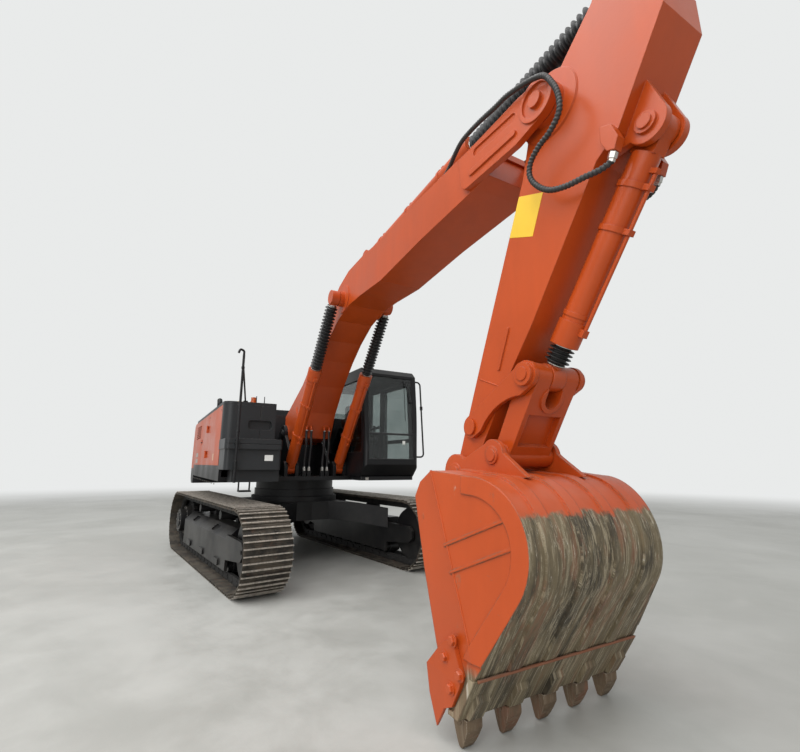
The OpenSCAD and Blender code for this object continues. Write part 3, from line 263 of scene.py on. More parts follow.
def copies(stamp, places):
    """One mesh of a copy of the stamp at each place. The stamp itself goes."""
    made = []
    for matrix in places:
        o = stamp.copy()
        o.data = stamp.data.copy()
        o.data.transform(matrix)
        bpy.context.scene.collection.objects.link(o)
        made.append(o)
    bpy.data.objects.remove(stamp)
    return join(*made)


def join(*objects):
    pick(*objects)
    if len(objects) > 1:
        bpy.ops.object.join()
    return bpy.context.object


def name(o, title, material, body):
    """Names the finished piece, gives it its finish and lets it ride on its body."""
    o.name = o.data.name = title
    o.data.materials.clear()
    o.data.materials.append(material)
    if body:
        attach(o, body)
    return o


def fit(o, frame_matrix, title, material, body):
    """Places a piece by one of the machine's own frames and names it."""
    return name(place(o, frame_matrix), title, material, body)


# Shader nodes

class Net:
    """Adds nodes to a tree. An input given as a socket is linked, and any other value is set."""

    def __init__(self, tree):
        self.tree = tree

    def put(self, socket, value):
        if isinstance(value, bpy.types.NodeSocket):
            self.tree.links.new(value, socket)
        else:
            socket.default_value = value

    def feed(self, sockets, values):
        """Puts each value on the socket of its name."""
        for key, value in values.items():
            self.put(sockets[key.replace("_", " ")], value)

    def node(self, kind, settings=None, **inputs):
        n = self.tree.nodes.new("ShaderNode" + kind)
        for key, value in (settings or {}).items():
            setattr(n, key, value)
        self.feed(n.inputs, inputs)
        return n

    def math(self, operation, *values, clamp=False):
        n = self.node("Math", {"operation": operation, "use_clamp": clamp})
        for socket, value in zip(n.inputs, values):
            self.put(socket, value)
        return n.outputs[0]

    def times(self, a, b, clamp=False):
        return self.math("MULTIPLY", a, b, clamp=clamp)

    def plus(self, a, b, clamp=False):
        return self.math("ADD", a, b, clamp=clamp)

    def minus(self, a, b):
        return self.math("SUBTRACT", a, b)

    def reach(self, a, b):
        """How far a point lies that is a along and b across."""
        return self.math("SQRT", self.plus(self.times(a, a), self.times(b, b)))

    def mix(self, factor, a, b, blend="MIX"):
        n = self.node("Mix", {"data_type": "RGBA", "blend_type": blend})
        for index, value in ((0, factor), (6, a), (7, b)):
            self.put(n.inputs[index], value)
        return n.outputs[2]

    def range(self, value, low, high, to_low=0.0, to_high=1.0):
        n = self.node("MapRange", {"interpolation_type": "SMOOTHSTEP"}, Value=value, From_Min=low,
                      From_Max=high, To_Min=to_low, To_Max=to_high)
        return n.outputs["Result"]

    def noise(self, vector, scale, detail=3.0, roughness=0.55, distortion=0.0):
        return self.node("TexNoise", None, Vector=vector, Scale=scale, Detail=detail, Roughness=roughness,
                         Distortion=distortion).outputs["Fac"]

    def vector_math(self, operation, *values):
        n = self.node("VectorMath", {"operation": operation})
        for socket, value in zip(n.inputs, values):
            self.put(socket, value)
        return n.outputs

    def stretched(self, vector, scale):
        """The vector with each part times its own scale."""
        return self.vector_math("MULTIPLY", vector, scale)[0]

    def coords(self):
        return self.node("TexCoord").outputs["Object"]

    def split(self, vector):
        return self.node("SeparateXYZ", None, Vector=vector).outputs

    def bump(self, height, distance, strength=1.0, normal=None):
        n = self.node("Bump", None, Height=height, Distance=distance, Strength=strength)
        if normal is not None:
            self.put(n.inputs["Normal"], normal)
        return n.outputs["Normal"]

    def use(self, group, **inputs):
        n = self.tree.nodes.new("ShaderNodeGroup")
        n.node_tree = group
        self.feed(n.inputs, inputs)
        return n.outputs


def group(title, inputs, outputs):
    """An empty node group: its net, its inputs by name, and a function that joins an output."""
    tree = bpy.data.node_groups.new(title, "ShaderNodeTree")
    for key, (kind, value) in inputs.items():
        tree.interface.new_socket(key, in_out="INPUT", socket_type="NodeSocket" + kind).default_value = value
    for key, kind in outputs.items():
        tree.interface.new_socket(key, in_out="OUTPUT", socket_type="NodeSocket" + kind)
    net = Net(tree)
    given = tree.nodes.new("NodeGroupInput").outputs
    wanted = tree.nodes.new("NodeGroupOutput").inputs
    return tree, net, given, lambda key, value: net.put(wanted[key], value)


def make_edges():
    """Mask of the edges, from how far a rounded normal turns from the true one, broken up by noise."""
    tree, net, given, give = group("edges", {"Radius": ("Float", 0.01), "Breakup": ("Float", 9.0)},
                                   {"Mask": "Float", "Normal": "Vector"})
    soft = net.node("Bevel", {"samples": 4}, Radius=given["Radius"]).outputs[0]
    true = net.node("NewGeometry").outputs["Normal"]
    turn_away = net.range(net.vector_math("DOT_PRODUCT", soft, true)["Value"], 0.995, 0.86)
    spots = net.range(net.noise(net.coords(), given["Breakup"], 4.0, 0.65), 0.42, 0.62)
    give("Mask", net.times(turn_away, spots))
    give("Normal", soft)
    return tree


def make_settled():
    """Mask of dust: more on what faces up, and more near the ground."""
    tree, net, given, give = group("settled", {"Amount": ("Float", 0.4), "Low": ("Float", 0.2)},
                                   {"Mask": "Float"})
    up = net.split(net.node("NewGeometry").outputs["Normal"])[2]
    high = net.split(net.coords())[2]
    lying = net.range(up, 0.25, 0.95)
    low = net.times(net.range(high, 1.3, 0.1), given["Low"])
    cloud = net.range(net.noise(net.coords(), 3.2, 5.0, 0.6), 0.3, 0.75)
    both = net.plus(net.times(lying, given["Amount"]), low)
    give("Mask", net.times(both, cloud, clamp=True))
    return tree


def make_coat(edges, settled):
    """A sprayed coat on steel: faint clouds and runs in its tone, worn edges, dust and a fine relief."""
    tree, net, given, give = group(
        "coat", {"Paint": ("Color", (0.5, 0.1, 0.02, 1)), "Bare": ("Color", (0.2, 0.17, 0.15, 1)),
                 "Dust": ("Color", (0.42, 0.38, 0.32, 1)), "Wear": ("Float", 0.4), "Dusty": ("Float", 0.2),
                 "Low": ("Float", 0.2), "Roughness": ("Float", 0.4), "Radius": ("Float", 0.008)},
        {"Color": "Color", "Roughness": "Float", "Normal": "Vector"})
    here = net.coords()
    worn = net.use(edges, Radius=given["Radius"])
    clouds = net.range(net.noise(here, 1.3, 4.0, 0.6), 0.3, 0.7, 0.93, 1.05)
    runs = net.range(net.noise(net.stretched(here, (7.0, 7.0, 0.8)), 1.0, 3.0), 0.35, 0.7, 0.97, 1.03)
    tone = net.times(clouds, runs)
    shade = net.node("CombineColor", None, Red=tone, Green=tone, Blue=tone).outputs[0]
    paint = net.mix(1.0, given["Paint"], shade, "MULTIPLY")
    scratch = net.range(net.noise(net.stretched(here, (3.0, 60.0, 45.0)), 1.0, 2.0, 0.7), 0.69, 0.76)
    scuffed = net.math("MAXIMUM", worn["Mask"], net.times(scratch, 0.25))
    bare = net.times(scuffed, given["Wear"], clamp=True)
    color = net.mix(bare, paint, given["Bare"])
    dust = net.use(settled, Amount=given["Dusty"], Low=given["Low"])["Mask"]
    give("Color", net.mix(dust, color, given["Dust"]))
    fine = net.noise(here, 160.0, 2.0)
    rough = net.plus(given["Roughness"], net.times(net.minus(clouds, 1.0), 1.2))
    give("Roughness", net.plus(rough, net.times(net.math("MAXIMUM", dust, bare), 0.3), clamp=True))
    relief = net.plus(fine, net.times(net.noise(here, 26.0, 2.0), 1.5))
    give("Normal", net.bump(relief, 0.0006, 0.5, worn["Normal"]))
    return tree


def make_scraped():
    """Steel that earth has scraped: streaks along the way it slides, rust, dried soil and bright scars."""
    tree, net, given, give = group(
        "scraped", {"Vector": ("Vector", (0, 0, 0)), "Bright": ("Float", 0.5), "Rust": ("Float", 0.5)},
        {"Color": "Color", "Roughness": "Float", "Height": "Float"})
    way = given["Vector"]
    broad = net.noise(net.stretched(way, (6.0, 1.8, 1.0)), 1.0, 5.0, 0.7, 0.8)
    streak = net.noise(net.stretched(way, (38.0, 4.0, 1.0)), 1.0, 7.0, 0.8, 0.8)
    hair = net.noise(net.stretched(way, (95.0, 13.0, 1.0)), 1.0, 5.0, 0.75, 1.2)
    soil = net.mix(net.range(broad, 0.34, 0.62), (0.040, 0.032, 0.020, 1), (0.160, 0.125, 0.072, 1))
    blots = net.range(net.noise(net.stretched(way, (11.0, 2.6, 1.0)), 1.0, 5.0, 0.7), 0.5, 0.66)
    rusty = net.times(blots, given["Rust"])
    rusted = net.mix(rusty, soil, (0.24, 0.095, 0.05, 1))
    pale = net.times(net.range(streak, 0.50, 0.60), given["Bright"])
    scraped = net.mix(pale, rusted, (0.34, 0.285, 0.19, 1))
    scar = net.times(net.range(hair, 0.56, 0.66), net.range(streak, 0.47, 0.57))
    give("Color", net.mix(net.times(scar, given["Bright"]), scraped, (0.62, 0.57, 0.48, 1)))
    give("Roughness", net.range(streak, 0.3, 0.7, 0.8, 0.48))
    give("Height", net.plus(net.times(broad, 0.5), net.plus(streak, net.times(hair, 0.4))))
    return tree


EDGES = make_edges()
SETTLED = make_settled()
COAT = make_coat(EDGES, SETTLED)
SCRAPED = make_scraped()


def material(title, **constants):
    """A new material with these constants: itself, its net, and a function that feeds its shader."""
    m = bpy.data.materials.new(title)
    m.use_nodes = True
    net = Net(m.node_tree)
    sockets = m.node_tree.nodes["Principled BSDF"].inputs
    for key, value in constants.items():
        sockets[key.replace("_", " ")].default_value = value
    return m, net, lambda key, value: net.put(sockets[key], value)


BAND_SOFTNESS = 0.002


def coated(title, paint, roughness, wear=0.35, dusty=0.18, low=0.15, bare=(0.2, 0.17, 0.15, 1), radius=0.008,
           band=None, **more):
    """Painted steel. A band is a height and the paint below it."""
    m, net, give = material(title, **more)
    paint = (*paint, 1)
    if band:
        height, low_paint = band
        z = net.split(net.coords())[2]
        paint = net.mix(net.range(z, height - BAND_SOFTNESS, height + BAND_SOFTNESS), (*low_paint, 1), paint)
    coat = net.use(COAT, Paint=paint, Bare=bare, Wear=wear, Dusty=dusty, Low=low, Roughness=roughness,
                   Radius=radius)
    give("Base Color", coat["Color"])
    give("Roughness", coat["Roughness"])
    give("Normal", coat["Normal"])
    return m


ORANGE_TINT = (0.47, 0.066, 0.008)
ORANGE_BARE = (0.34, 0.07, 0.03, 1)
ORANGE_ROUGHNESS = 0.36
ORANGE_WEAR = 0.3
ORANGE_DUST = 0.1
DARK_TINT = (0.024, 0.026, 0.028)
LOW_BAND_Z = 1.490


def orange(title, **more):
    return coated(title, ORANGE_TINT, ORANGE_ROUGHNESS, ORANGE_WEAR, ORANGE_DUST, low=0.0, bare=ORANGE_BARE,
                  Coat_Weight=0.08, Coat_Roughness=0.25, Specular_IOR_Level=0.32, **more)


def plate_paint(title, tint, dusty=0.18):
    return coated(title, tint, 0.4, 0.1, dusty, low=0.0, radius=0.002)


ORANGE = orange("orange_paint")
TWO_TONE = orange("orange_over_grey", band=(LOW_BAND_Z, DARK_TINT))
DARK = coated("dark_grey_paint", DARK_TINT, 0.42, wear=0.3, dusty=0.07, low=0.05, Specular_IOR_Level=0.32)
BLACK = coated("black_paint", (0.008, 0.008, 0.009), 0.36, dusty=0.06, low=0.05, bare=(0.06, 0.055, 0.05, 1),
               Specular_IOR_Level=0.28)
PLASTIC = coated("cab_plastic", (0.02, 0.02, 0.022), 0.6, wear=0.05, dusty=0.1, low=0.0, radius=0.004)
BOLT = coated("bolt_steel", (0.16, 0.15, 0.14), 0.42, wear=0.7, bare=(0.4, 0.38, 0.35, 1), radius=0.002,
              Metallic=0.7)
ORANGE_BOLT = coated("painted_bolt", ORANGE_TINT, ORANGE_ROUGHNESS, wear=0.5, low=0.0,
                     bare=(0.3, 0.08, 0.04, 1), radius=0.002)
LIP_WELD = coated("lip_weld_rust", (0.24, 0.085, 0.040), 0.7, wear=0.6, low=0.0, bare=(0.3, 0.22, 0.15, 1),
                  radius=0.004)
STEEL_FITTING = coated("plated_fitting", (0.5, 0.49, 0.46), 0.3, wear=0.2, low=0.0, radius=0.001,
                       Metallic=0.9)
WHITE = plate_paint("white_plate", (0.78, 0.78, 0.75))
YELLOW = plate_paint("yellow_plate", (0.83, 0.52, 0.03), 0.05)
PALE = plate_paint("pale_plate", (0.74, 0.58, 0.38))
GREY_PLATE = plate_paint("grey_plate", (0.33, 0.31, 0.28))


def rubbery(title, tint, dusty):
    m, net, give = material(title)
    dust = net.use(SETTLED, Amount=dusty, Low=0.0)["Mask"]
    give("Base Color", net.mix(dust, (*tint, 1), (0.3, 0.28, 0.25, 1)))
    give("Roughness", net.range(net.noise(net.coords(), 20.0), 0.3, 0.7, 0.42, 0.62))
    give("Normal", net.bump(net.noise(net.coords(), 240.0, 2.0), 0.0006, 0.6))
    return m


RUBBER = rubbery("moulded_rubber", (0.009, 0.009, 0.010), 0.12)
GUARD = rubbery("spiral_guard", (0.026, 0.025, 0.024), 0.2)


def make_glass():
    m, net, give = material("tinted_glass", Transmission_Weight=1.0, IOR=1.45, Specular_IOR_Level=0.6)
    smear = net.noise(net.coords(), 6.0, 3.0)
    give("Base Color", net.mix(net.range(smear, 0.3, 0.7), (0.40, 0.45, 0.44, 1), (0.45, 0.49, 0.48, 1)))
    give("Roughness", net.range(smear, 0.5, 0.8, 0.0, 0.05))
    return m


def make_amber():
    m, net, give = material("amber_lens", Transmission_Weight=0.35, IOR=1.49)
    ribs = net.math("SINE", net.times(net.split(net.coords())[2], 700.0))
    give("Base Color", net.mix(net.range(ribs, -1.0, 1.0), (0.62, 0.09, 0.01, 1), (0.85, 0.2, 0.02, 1)))
    give("Roughness", net.range(ribs, -1.0, 1.0, 0.12, 0.2))
    give("Normal", net.bump(ribs, 0.001))
    return m


THREADS = 2400.0                 # of the seat cloth, in radians for each metre


def make_cloth():
    """Woven seat cloth: two sets of threads by the piece's own coordinates, with a soft sheen."""
    m, net, give = material("seat_cloth", Sheen_Weight=0.4, Sheen_Roughness=0.5)
    x, y, z = net.split(net.coords())
    warp = net.math("SINE", net.times(net.plus(x, z), THREADS))
    weft = net.math("SINE", net.times(y, THREADS))
    weave = net.times(warp, weft)
    clouds = net.range(net.noise(net.coords(), 30.0), 0.35, 0.65)
    give("Base Color", net.mix(clouds, (0.03, 0.03, 0.035, 1), (0.055, 0.055, 0.06, 1)))
    give("Roughness", net.range(weave, -1.0, 1.0, 0.95, 0.8))
    give("Normal", net.bump(weave, 0.0006))
    return m


BRIGHT_FROM, BRIGHT_TO = 0.012, 0.002     # the shoes' ridges are bright this far in from their tips
DARK_FROM, DARK_TO = 0.055, 0.045         # the links inside are darker, from this far in


def make_track_steel():
    """Shoes bright at their ridges' tips and dusty between, by the way out from the loop's middle line."""
    m, net, give = material("track_steel")
    spot = ON_UNDER.to_translation()
    shifted = net.node("Mapping", {"vector_type": "TEXTURE"}, Vector=net.coords(),
                       Location=(spot.x, 0, TRACK_H / 2), Rotation=(0, 0, PARKED_TURN)).outputs[0]
    x, y, z = net.split(shifted)
    past = net.math("MAXIMUM", net.minus(net.math("ABSOLUTE", x), (TRACK_L - TRACK_H) / 2), 0.0)
    out = net.reach(past, z)
    top = TRACK_H / 2
    tip = net.range(out, top - BRIGHT_FROM, top - BRIGHT_TO)
    spots = net.range(net.noise(net.stretched(shifted, (8.0, 22.0, 8.0)), 1.0, 4.0, 0.7), 0.36, 0.6)
    dirty = net.range(net.noise(shifted, 5.0, 5.0, 0.65), 0.35, 0.65)
    soil = net.mix(dirty, (0.022, 0.019, 0.015, 1), (0.085, 0.07, 0.052, 1))
    rust = net.range(net.noise(shifted, 14.0, 4.0), 0.56, 0.72, 0.0, 0.6)
    rusted = net.mix(rust, soil, (0.09, 0.045, 0.028, 1))
    base = net.mix(net.range(out, top - DARK_FROM, top - DARK_TO), (0.016, 0.015, 0.014, 1), rusted)
    bright = net.times(tip, net.range(spots, 0.0, 1.0, 0.55, 1.0))
    give("Base Color", net.mix(bright, base, (0.42, 0.38, 0.33, 1)))
    give("Roughness", net.range(bright, 0.0, 1.0, 0.75, 0.4))
    give("Metallic", net.times(bright, 0.35))
    give("Normal", net.bump(net.noise(shifted, 60.0, 4.0, 0.7), 0.003, 0.6))
    return m


GLASS = make_glass()
AMBER = make_amber()
CLOTH = make_cloth()
TRACK_STEEL = make_track_steel()


# Camera

CAM_AT = (6.261, -2.387, 1.592)
CAM_YAW = 2.628
CAM_PITCH = 0.199
CAM_ROLL = 0.007
FOCAL_PX = 440.4
IMAGE_W = 800
SENSOR_MM = 36.0


def make_camera():
    bpy.ops.object.camera_add()
    camera = bpy.context.object
    camera.name = "camera"
    flat = cos(CAM_PITCH)
    ahead = Vector((flat * cos(CAM_YAW), flat * sin(CAM_YAW), sin(CAM_PITCH)))
    level = ahead.cross(Vector((0, 0, 1))).normalized()
    above = level.cross(ahead)
    right = level * cos(CAM_ROLL) + above * sin(CAM_ROLL)
    up = above * cos(CAM_ROLL) - level * sin(CAM_ROLL)
    camera.matrix_world = Matrix.Translation(CAM_AT) @ Matrix((right, up, -ahead)).transposed().to_4x4()
    camera.data.sensor_width = SENSOR_MM
    camera.data.lens = FOCAL_PX / IMAGE_W * SENSOR_MM
    camera.data.clip_end = 500
    bpy.context.scene.camera = camera


make_camera()


# Hoses

HOSE_R = 0.020
HOSE_STEPS = 32
HOSE_FROM_BOOM = ((5.2153, 0.200, 0.598), (5.260, 0.200, 0.598), (5.370, 0.222, 0.582), (5.520, 0.275, 0.540),
                  (5.680, 0.325, 0.480), (5.900, 0.352, 0.385), (6.080, 0.362, 0.300), (6.230, 0.368, 0.235))
HOSE_ON_ARM = ((-0.110, 0.372, 0.070), (-0.020, 0.368, 0.200), (0.080, 0.360, 0.275), (0.180, 0.352, 0.300),
               (0.280, 0.345, 0.250), (0.350, 0.338, 0.170), (0.440, 0.330, 0.115), (0.530, 0.322, 0.130),
               (0.600, 0.312, 0.210), (0.640, 0.300, 0.320), (0.630, 0.285, 0.440), (0.585, 0.262, 0.560),
               (0.550, 0.240, 0.645), (0.505, 0.222, 0.685), (0.4553, 0.222, 0.685))
HOSE_ROUTE = [ON_BOOM @ Vector(p) for p in HOSE_FROM_BOOM] + [ON_ARM @ Vector(p) for p in HOSE_ON_ARM]
GUARD_PITCH = 0.024
GUARD_RISE = 0.0035

FOOT_HOSE_R = 0.019
FOOT_HOSE_STEPS = 6
FOOT_HOSE_Y = {"inner": 0.110, "outer": 0.190}
FOOT_HOSE_LINE = ((1.090, 1.4903), (1.090, 1.560), (1.102, 1.680), (1.128, 1.800), (1.152, 1.920),
                  (1.135, 2.030), (1.135, 2.1297))


def smooth_line(points, steps):
    """A smooth curve through the points, with so many steps between each two."""
    points = [Vector(p) for p in points]
    line = [points[0]]
    for i in range(len(points) - 1):
        a, b = points[i], points[i + 1]
        before, after = points[max(i - 1, 0)], points[min(i + 2, len(points) - 1)]
        reach = (b - a).length / 3
        start = a + (b - before).normalized() * reach
        end = b - (after - a).normalized() * reach
        line += interpolate_bezier(a, start, end, b, steps + 1)[1:]
    return line


def sweep(title, line, radius_at, sides=14):
    """A closed tube round a line. radius_at(distance, angle) is its radius there."""
    last = len(line) - 1
    tangents = [(line[min(i + 1, last)] - line[max(i - 1, 0)]).normalized() for i in range(last + 1)]
    normal = tangents[0].orthogonal().normalized()
    points, faces, gone = [], [], 0.0
    for i, (centre, tangent) in enumerate(zip(line, tangents)):
        gone += (centre - line[i - 1]).length if i else 0.0
        normal = (normal - tangent * normal.dot(tangent)).normalized()
        beside = tangent.cross(normal)
        for k in range(sides):
            a = 2 * pi * k / sides
            points.append(centre + (normal * cos(a) + beside * sin(a)) * radius_at(gone, a))
        if i:
            first = (i - 1) * sides
            for k in range(sides):
                beyond = (k + 1) % sides
                faces.append((first + k, first + beyond, first + sides + beyond, first + sides + k))
    faces += [tuple(reversed(range(sides))), tuple(range(len(points) - sides, len(points)))]
    mesh = bpy.data.meshes.new(title)
    mesh.from_pydata(points, [], faces)
    o = bpy.data.objects.new(title, mesh)
    bpy.context.scene.collection.objects.link(o)
    return done(o, 60)


def guarded(distance, angle):
    """Radius of a hose with a flat spiral strip wound round it."""
    wave = cos(2 * pi * distance / GUARD_PITCH - angle)
    return HOSE_R - GUARD_RISE / 2 + GUARD_RISE * min(max(wave * 1.6, -0.5), 0.5)


def plain_hose(distance, angle):
    return FOOT_HOSE_R


def make_hoses():
    for side, mirror in (("left", Matrix.Identity(4)), ("right", MIRROR)):
        title = "arm_hose_" + side
        centre = smooth_line([mirror @ p for p in HOSE_ROUTE], HOSE_STEPS)
        hose = name(sweep(title, centre, guarded, 12), title, GUARD, None)
        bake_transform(hose)
        if side == "left":
            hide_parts("hoses")
    for row, side, sign in ((r, s, k) for r in FOOT_HOSE_Y for s, k in (("left", 1), ("right", -1))):
        y = sign * FOOT_HOSE_Y[row]
        centre = smooth_line([ON_MACHINE @ Vector((x, y, z)) for x, z in FOOT_HOSE_LINE], FOOT_HOSE_STEPS)
        title = f"foot_hose_{side}_{row}"
        hose = name(sweep(title, centre, plain_hose), title, RUBBER, None)
        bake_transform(hose)
        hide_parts("foot_hoses")


make_hoses()


# Stage

BACKDROP = 0.84
BACKDROP_TINT = (0.97, 0.985, 0.98, 1)
FLOOR_SIZE = 400
FADE_FROM, FADE_TO = 13.0, 30.0  # from the middle of the floor


def fade_far_floor(m, net, here):
    """Far from the machine the floor runs into the pale backdrop; the camera alone sees this."""
    away = net.vector_math("LENGTH", here)["Value"]
    seen = net.node("LightPath").outputs["Is Camera Ray"]
    pale = net.node("Emission")
    pale.inputs["Color"].default_value = BACKDROP_TINT
    pale.inputs["Strength"].default_value = BACKDROP
    both = net.node("MixShader")
    net.put(both.inputs[0], net.times(net.range(away, FADE_FROM, FADE_TO), seen))
    tree = m.node_tree
    out = next(n for n in tree.nodes if n.type == "OUTPUT_MATERIAL")
    lit = next(n for n in tree.nodes if n.type == "BSDF_PRINCIPLED")
    tree.links.new(lit.outputs["BSDF"], both.inputs[1])
    tree.links.new(pale.outputs["Emission"], both.inputs[2])
    tree.links.new(both.outputs["Shader"], out.inputs["Surface"])


def make_floor():
    deselect()
    bpy.ops.mesh.primitive_plane_add(size=FLOOR_SIZE)
    floor = bpy.context.object
    m, net, give = material("floor_concrete", Specular_IOR_Level=0.35)
    here = net.coords()
    broad = net.noise(here, 0.32, 5.0, 0.6, 0.5)
    cloud = net.noise(here, 1.7, 6.0, 0.65, 0.3)
    tone = net.plus(net.times(broad, 0.6), net.times(cloud, 0.4))
    color = net.mix(net.range(tone, 0.36, 0.64), (0.37, 0.37, 0.345, 1), (0.47, 0.47, 0.445, 1))
    give("Base Color", color)
    give("Roughness", net.range(cloud, 0.3, 0.7, 0.38, 0.6))
    give("Normal", net.bump(net.noise(here, 30.0, 3.0), 0.0015, 0.4))
    fade_far_floor(m, net, here)
    floor.data.materials.append(m)
    floor.name = "floor"


LAMP_AT = (4.0, -10.0, 19.0)
LAMP_SIZE = 24.0
LAMP_POWER = 5400.0
FILL_AT = (10.0, -9.0, 5.0)
FILL_SIZE = 8.0
FILL_POWER = 380.0
LAMPS_AIM = (0.0, 0.0, 1.0)
SKY_LIGHT = 0.50
GLOSSY_SHARE = 0.6               # of the backdrop, in reflections


def make_lights():
    for title, at, size, power in (("lamp", LAMP_AT, LAMP_SIZE, LAMP_POWER),
                                   ("fill", FILL_AT, FILL_SIZE, FILL_POWER)):
        bpy.ops.object.light_add(type="AREA", location=at)
        light = bpy.context.object
        light.name = title
        light.data.size = size
        light.data.energy = power
        light.rotation_euler = (Vector(LAMPS_AIM) - light.location).to_track_quat("-Z", "Y").to_euler()
    world = bpy.data.worlds.new("studio")
    bpy.context.scene.world = world
    world.use_nodes = True
    net = Net(world.node_tree)
    ray = net.node("LightPath").outputs
    seen = net.math("MAXIMUM", ray["Is Camera Ray"], ray["Is Transmission Ray"])
    seen = net.math("MAXIMUM", seen, net.times(ray["Is Glossy Ray"], GLOSSY_SHARE))
    strength = net.plus(net.times(seen, BACKDROP - SKY_LIGHT), SKY_LIGHT)
    back = world.node_tree.nodes["Background"]
    back.inputs["Color"].default_value = BACKDROP_TINT
    net.put(back.inputs["Strength"], strength)


make_floor()
make_lights()
bpy.context.scene.view_settings.view_transform = "Standard"


# Finishes of the part's own nodes

BACK_AXIS = (0.616, -0.440)      # middle of the bucket's rounded back, from the bucket pin
WORN_BELOW = -0.22               # the bucket's paint has gone below this height from the pin
LIP_BELOW = -1.08                # and on its side plates below this one
FLANK_FROM, FLANK_TO = 0.490, 0.500     # the side plates' faces lie farther from the middle


def worn_bucket(title):
    """Paint at the top of the bucket, and scraped steel where earth slides over it."""
    m, net, give = material(title)
    x, y, z = net.split(net.vector_math("SUBTRACT", net.coords(), tuple(pin("bucket_curl")))[0])
    dx = net.minus(x, BACK_AXIS[0])
    dz = net.minus(z, BACK_AXIS[1])
    along = net.times(net.math("ARCTAN2", dz, dx), 0.45)
    way = net.node("CombineXYZ", None, X=y, Y=along, Z=net.times(x, 0.6)).outputs[0]
    steel = net.use(SCRAPED, Vector=way, Bright=0.75, Rust=0.55)
    coat = net.use(COAT, Paint=(*ORANGE_TINT, 1), Bare=(0.16, 0.10, 0.06, 1), Wear=0.9, Dusty=0.15, Low=0.0,
                   Roughness=0.42, Radius=0.012)
    edge = net.times(net.minus(net.noise(net.coords(), 9.0, 5.0, 0.7), 0.5), 0.16)
    ragged = net.plus(z, edge)
    low = net.range(ragged, WORN_BELOW + 0.02, WORN_BELOW - 0.02)
    face = net.math("ABSOLUTE", net.split(net.node("NewGeometry").outputs["True Normal"])[1])
    wide = net.range(net.math("ABSOLUTE", y), FLANK_FROM, FLANK_TO)
    flank = net.times(net.range(face, 0.5, 0.8), wide)
    lower = net.range(ragged, LIP_BELOW + 0.06, LIP_BELOW - 0.04)
    rubbed = net.range(net.noise(net.stretched(net.coords(), (3.0, 3.0, 2.0)), 3.0, 6.0, 0.7), 0.64, 0.72)
    side = net.math("MAXIMUM", lower, net.times(rubbed, 0.35))
    worn = net.plus(net.times(low, net.minus(1.0, flank)), net.times(side, flank), clamp=True)
    painted = net.minus(1.0, worn)
    give("Base Color", net.mix(worn, coat["Color"], steel["Color"]))
    give("Roughness", net.plus(net.times(coat["Roughness"], painted), net.times(steel["Roughness"], worn)))
    give("Normal", net.bump(net.times(steel["Height"], worn), 0.002, 0.6, coat["Normal"]))
    return m


def make_tooth_steel():
    m, net, give = material("tooth_steel")
    steel = net.use(SCRAPED, Vector=net.stretched(net.coords(), (1.0, 1.6, 1.6)), Bright=0.5, Rust=1.0)
    edge = net.use(EDGES, Radius=0.006, Breakup=20.0)
    brown = net.mix(0.55, steel["Color"], (0.13, 0.075, 0.045, 1))
    give("Base Color", net.mix(edge["Mask"], brown, (0.42, 0.37, 0.3, 1)))
    give("Roughness", steel["Roughness"])
    give("Normal", net.bump(steel["Height"], 0.002, 0.5, edge["Normal"]))
    return m


EYE_R = 0.095                    # of a rod's eye, round its pin


def rod_finish(title, node, on_cylinder):
    """Chrome along the rod and paint on its eye, by the distance from the eye's pin."""
    m, net, give = material(title)
    tip = span(node, on_cylinder)[1].x
    eye = on_cylinder @ Vector((tip - EYE_R, 0, 0))
    x, y, z = net.split(net.coords())
    out = net.reach(net.minus(x, eye.x), net.minus(z, eye.z))
    rod = net.range(out, EYE_R + 0.012, EYE_R + 0.016)
    coat = net.use(COAT, Paint=(*ORANGE_TINT, 1), Bare=ORANGE_BARE, Wear=ORANGE_WEAR, Dusty=ORANGE_DUST,
                   Low=0.0, Roughness=ORANGE_ROUGHNESS, Radius=0.008)
    give("Base Color", net.mix(rod, coat["Color"], (0.68, 0.69, 0.71, 1)))
    give("Roughness", net.range(rod, 0.0, 1.0, 0.4, 0.13))
    give("Metallic", rod)
    give("Normal", coat["Normal"])
    return m


TOOTH_STEEL = make_tooth_steel()
FINISHES = (
    (TWO_TONE, "counterweight"),
    (ORANGE, "right_panels right_door left_panels left_door boom boom_pipes boom_barrels arm arm_barrel"
             " bucket_barrel bucket_lever bucket_link side_cutters"),
    (DARK, "right_box top_cover engine_hood engine_block"),
    (BLACK, "carbody slew_ring track_frame_right track_frame_left sprocket_right sprocket_left idler_right"
            " idler_left rollers_right rollers_left main_deck exhaust cab_shell cab_door handrails steps"),
    (TRACK_STEEL, "track_right track_left"),
    (GLASS, "cab_glass door_glass"),
    (CLOTH, "seat"),
    (PLASTIC, "consoles"),
    (AMBER, "lamps"),
    (RUBBER, "hoses foot_hoses boom_boots arm_boot bucket_boot"),
    (rod_finish("boom_rod_finish", "boom_rods", ON_BOOM_CYL), "boom_rods"),
    (rod_finish("arm_rod_finish", "arm_rod", ON_ARM_CYL), "arm_rod"),
    (rod_finish("bucket_rod_finish", "bucket_rod", ON_BUCKET_CYL), "bucket_rod"),
    (worn_bucket("bucket_finish"), "bucket"),
    (TOOTH_STEEL, "bucket_teeth"),
)
for finish, nodes in FINISHES:
    for node in nodes.split():
        NODE[node].data.materials.clear()
        NODE[node].data.materials.append(finish)


# Bellows on the rods, and pipes along the boom

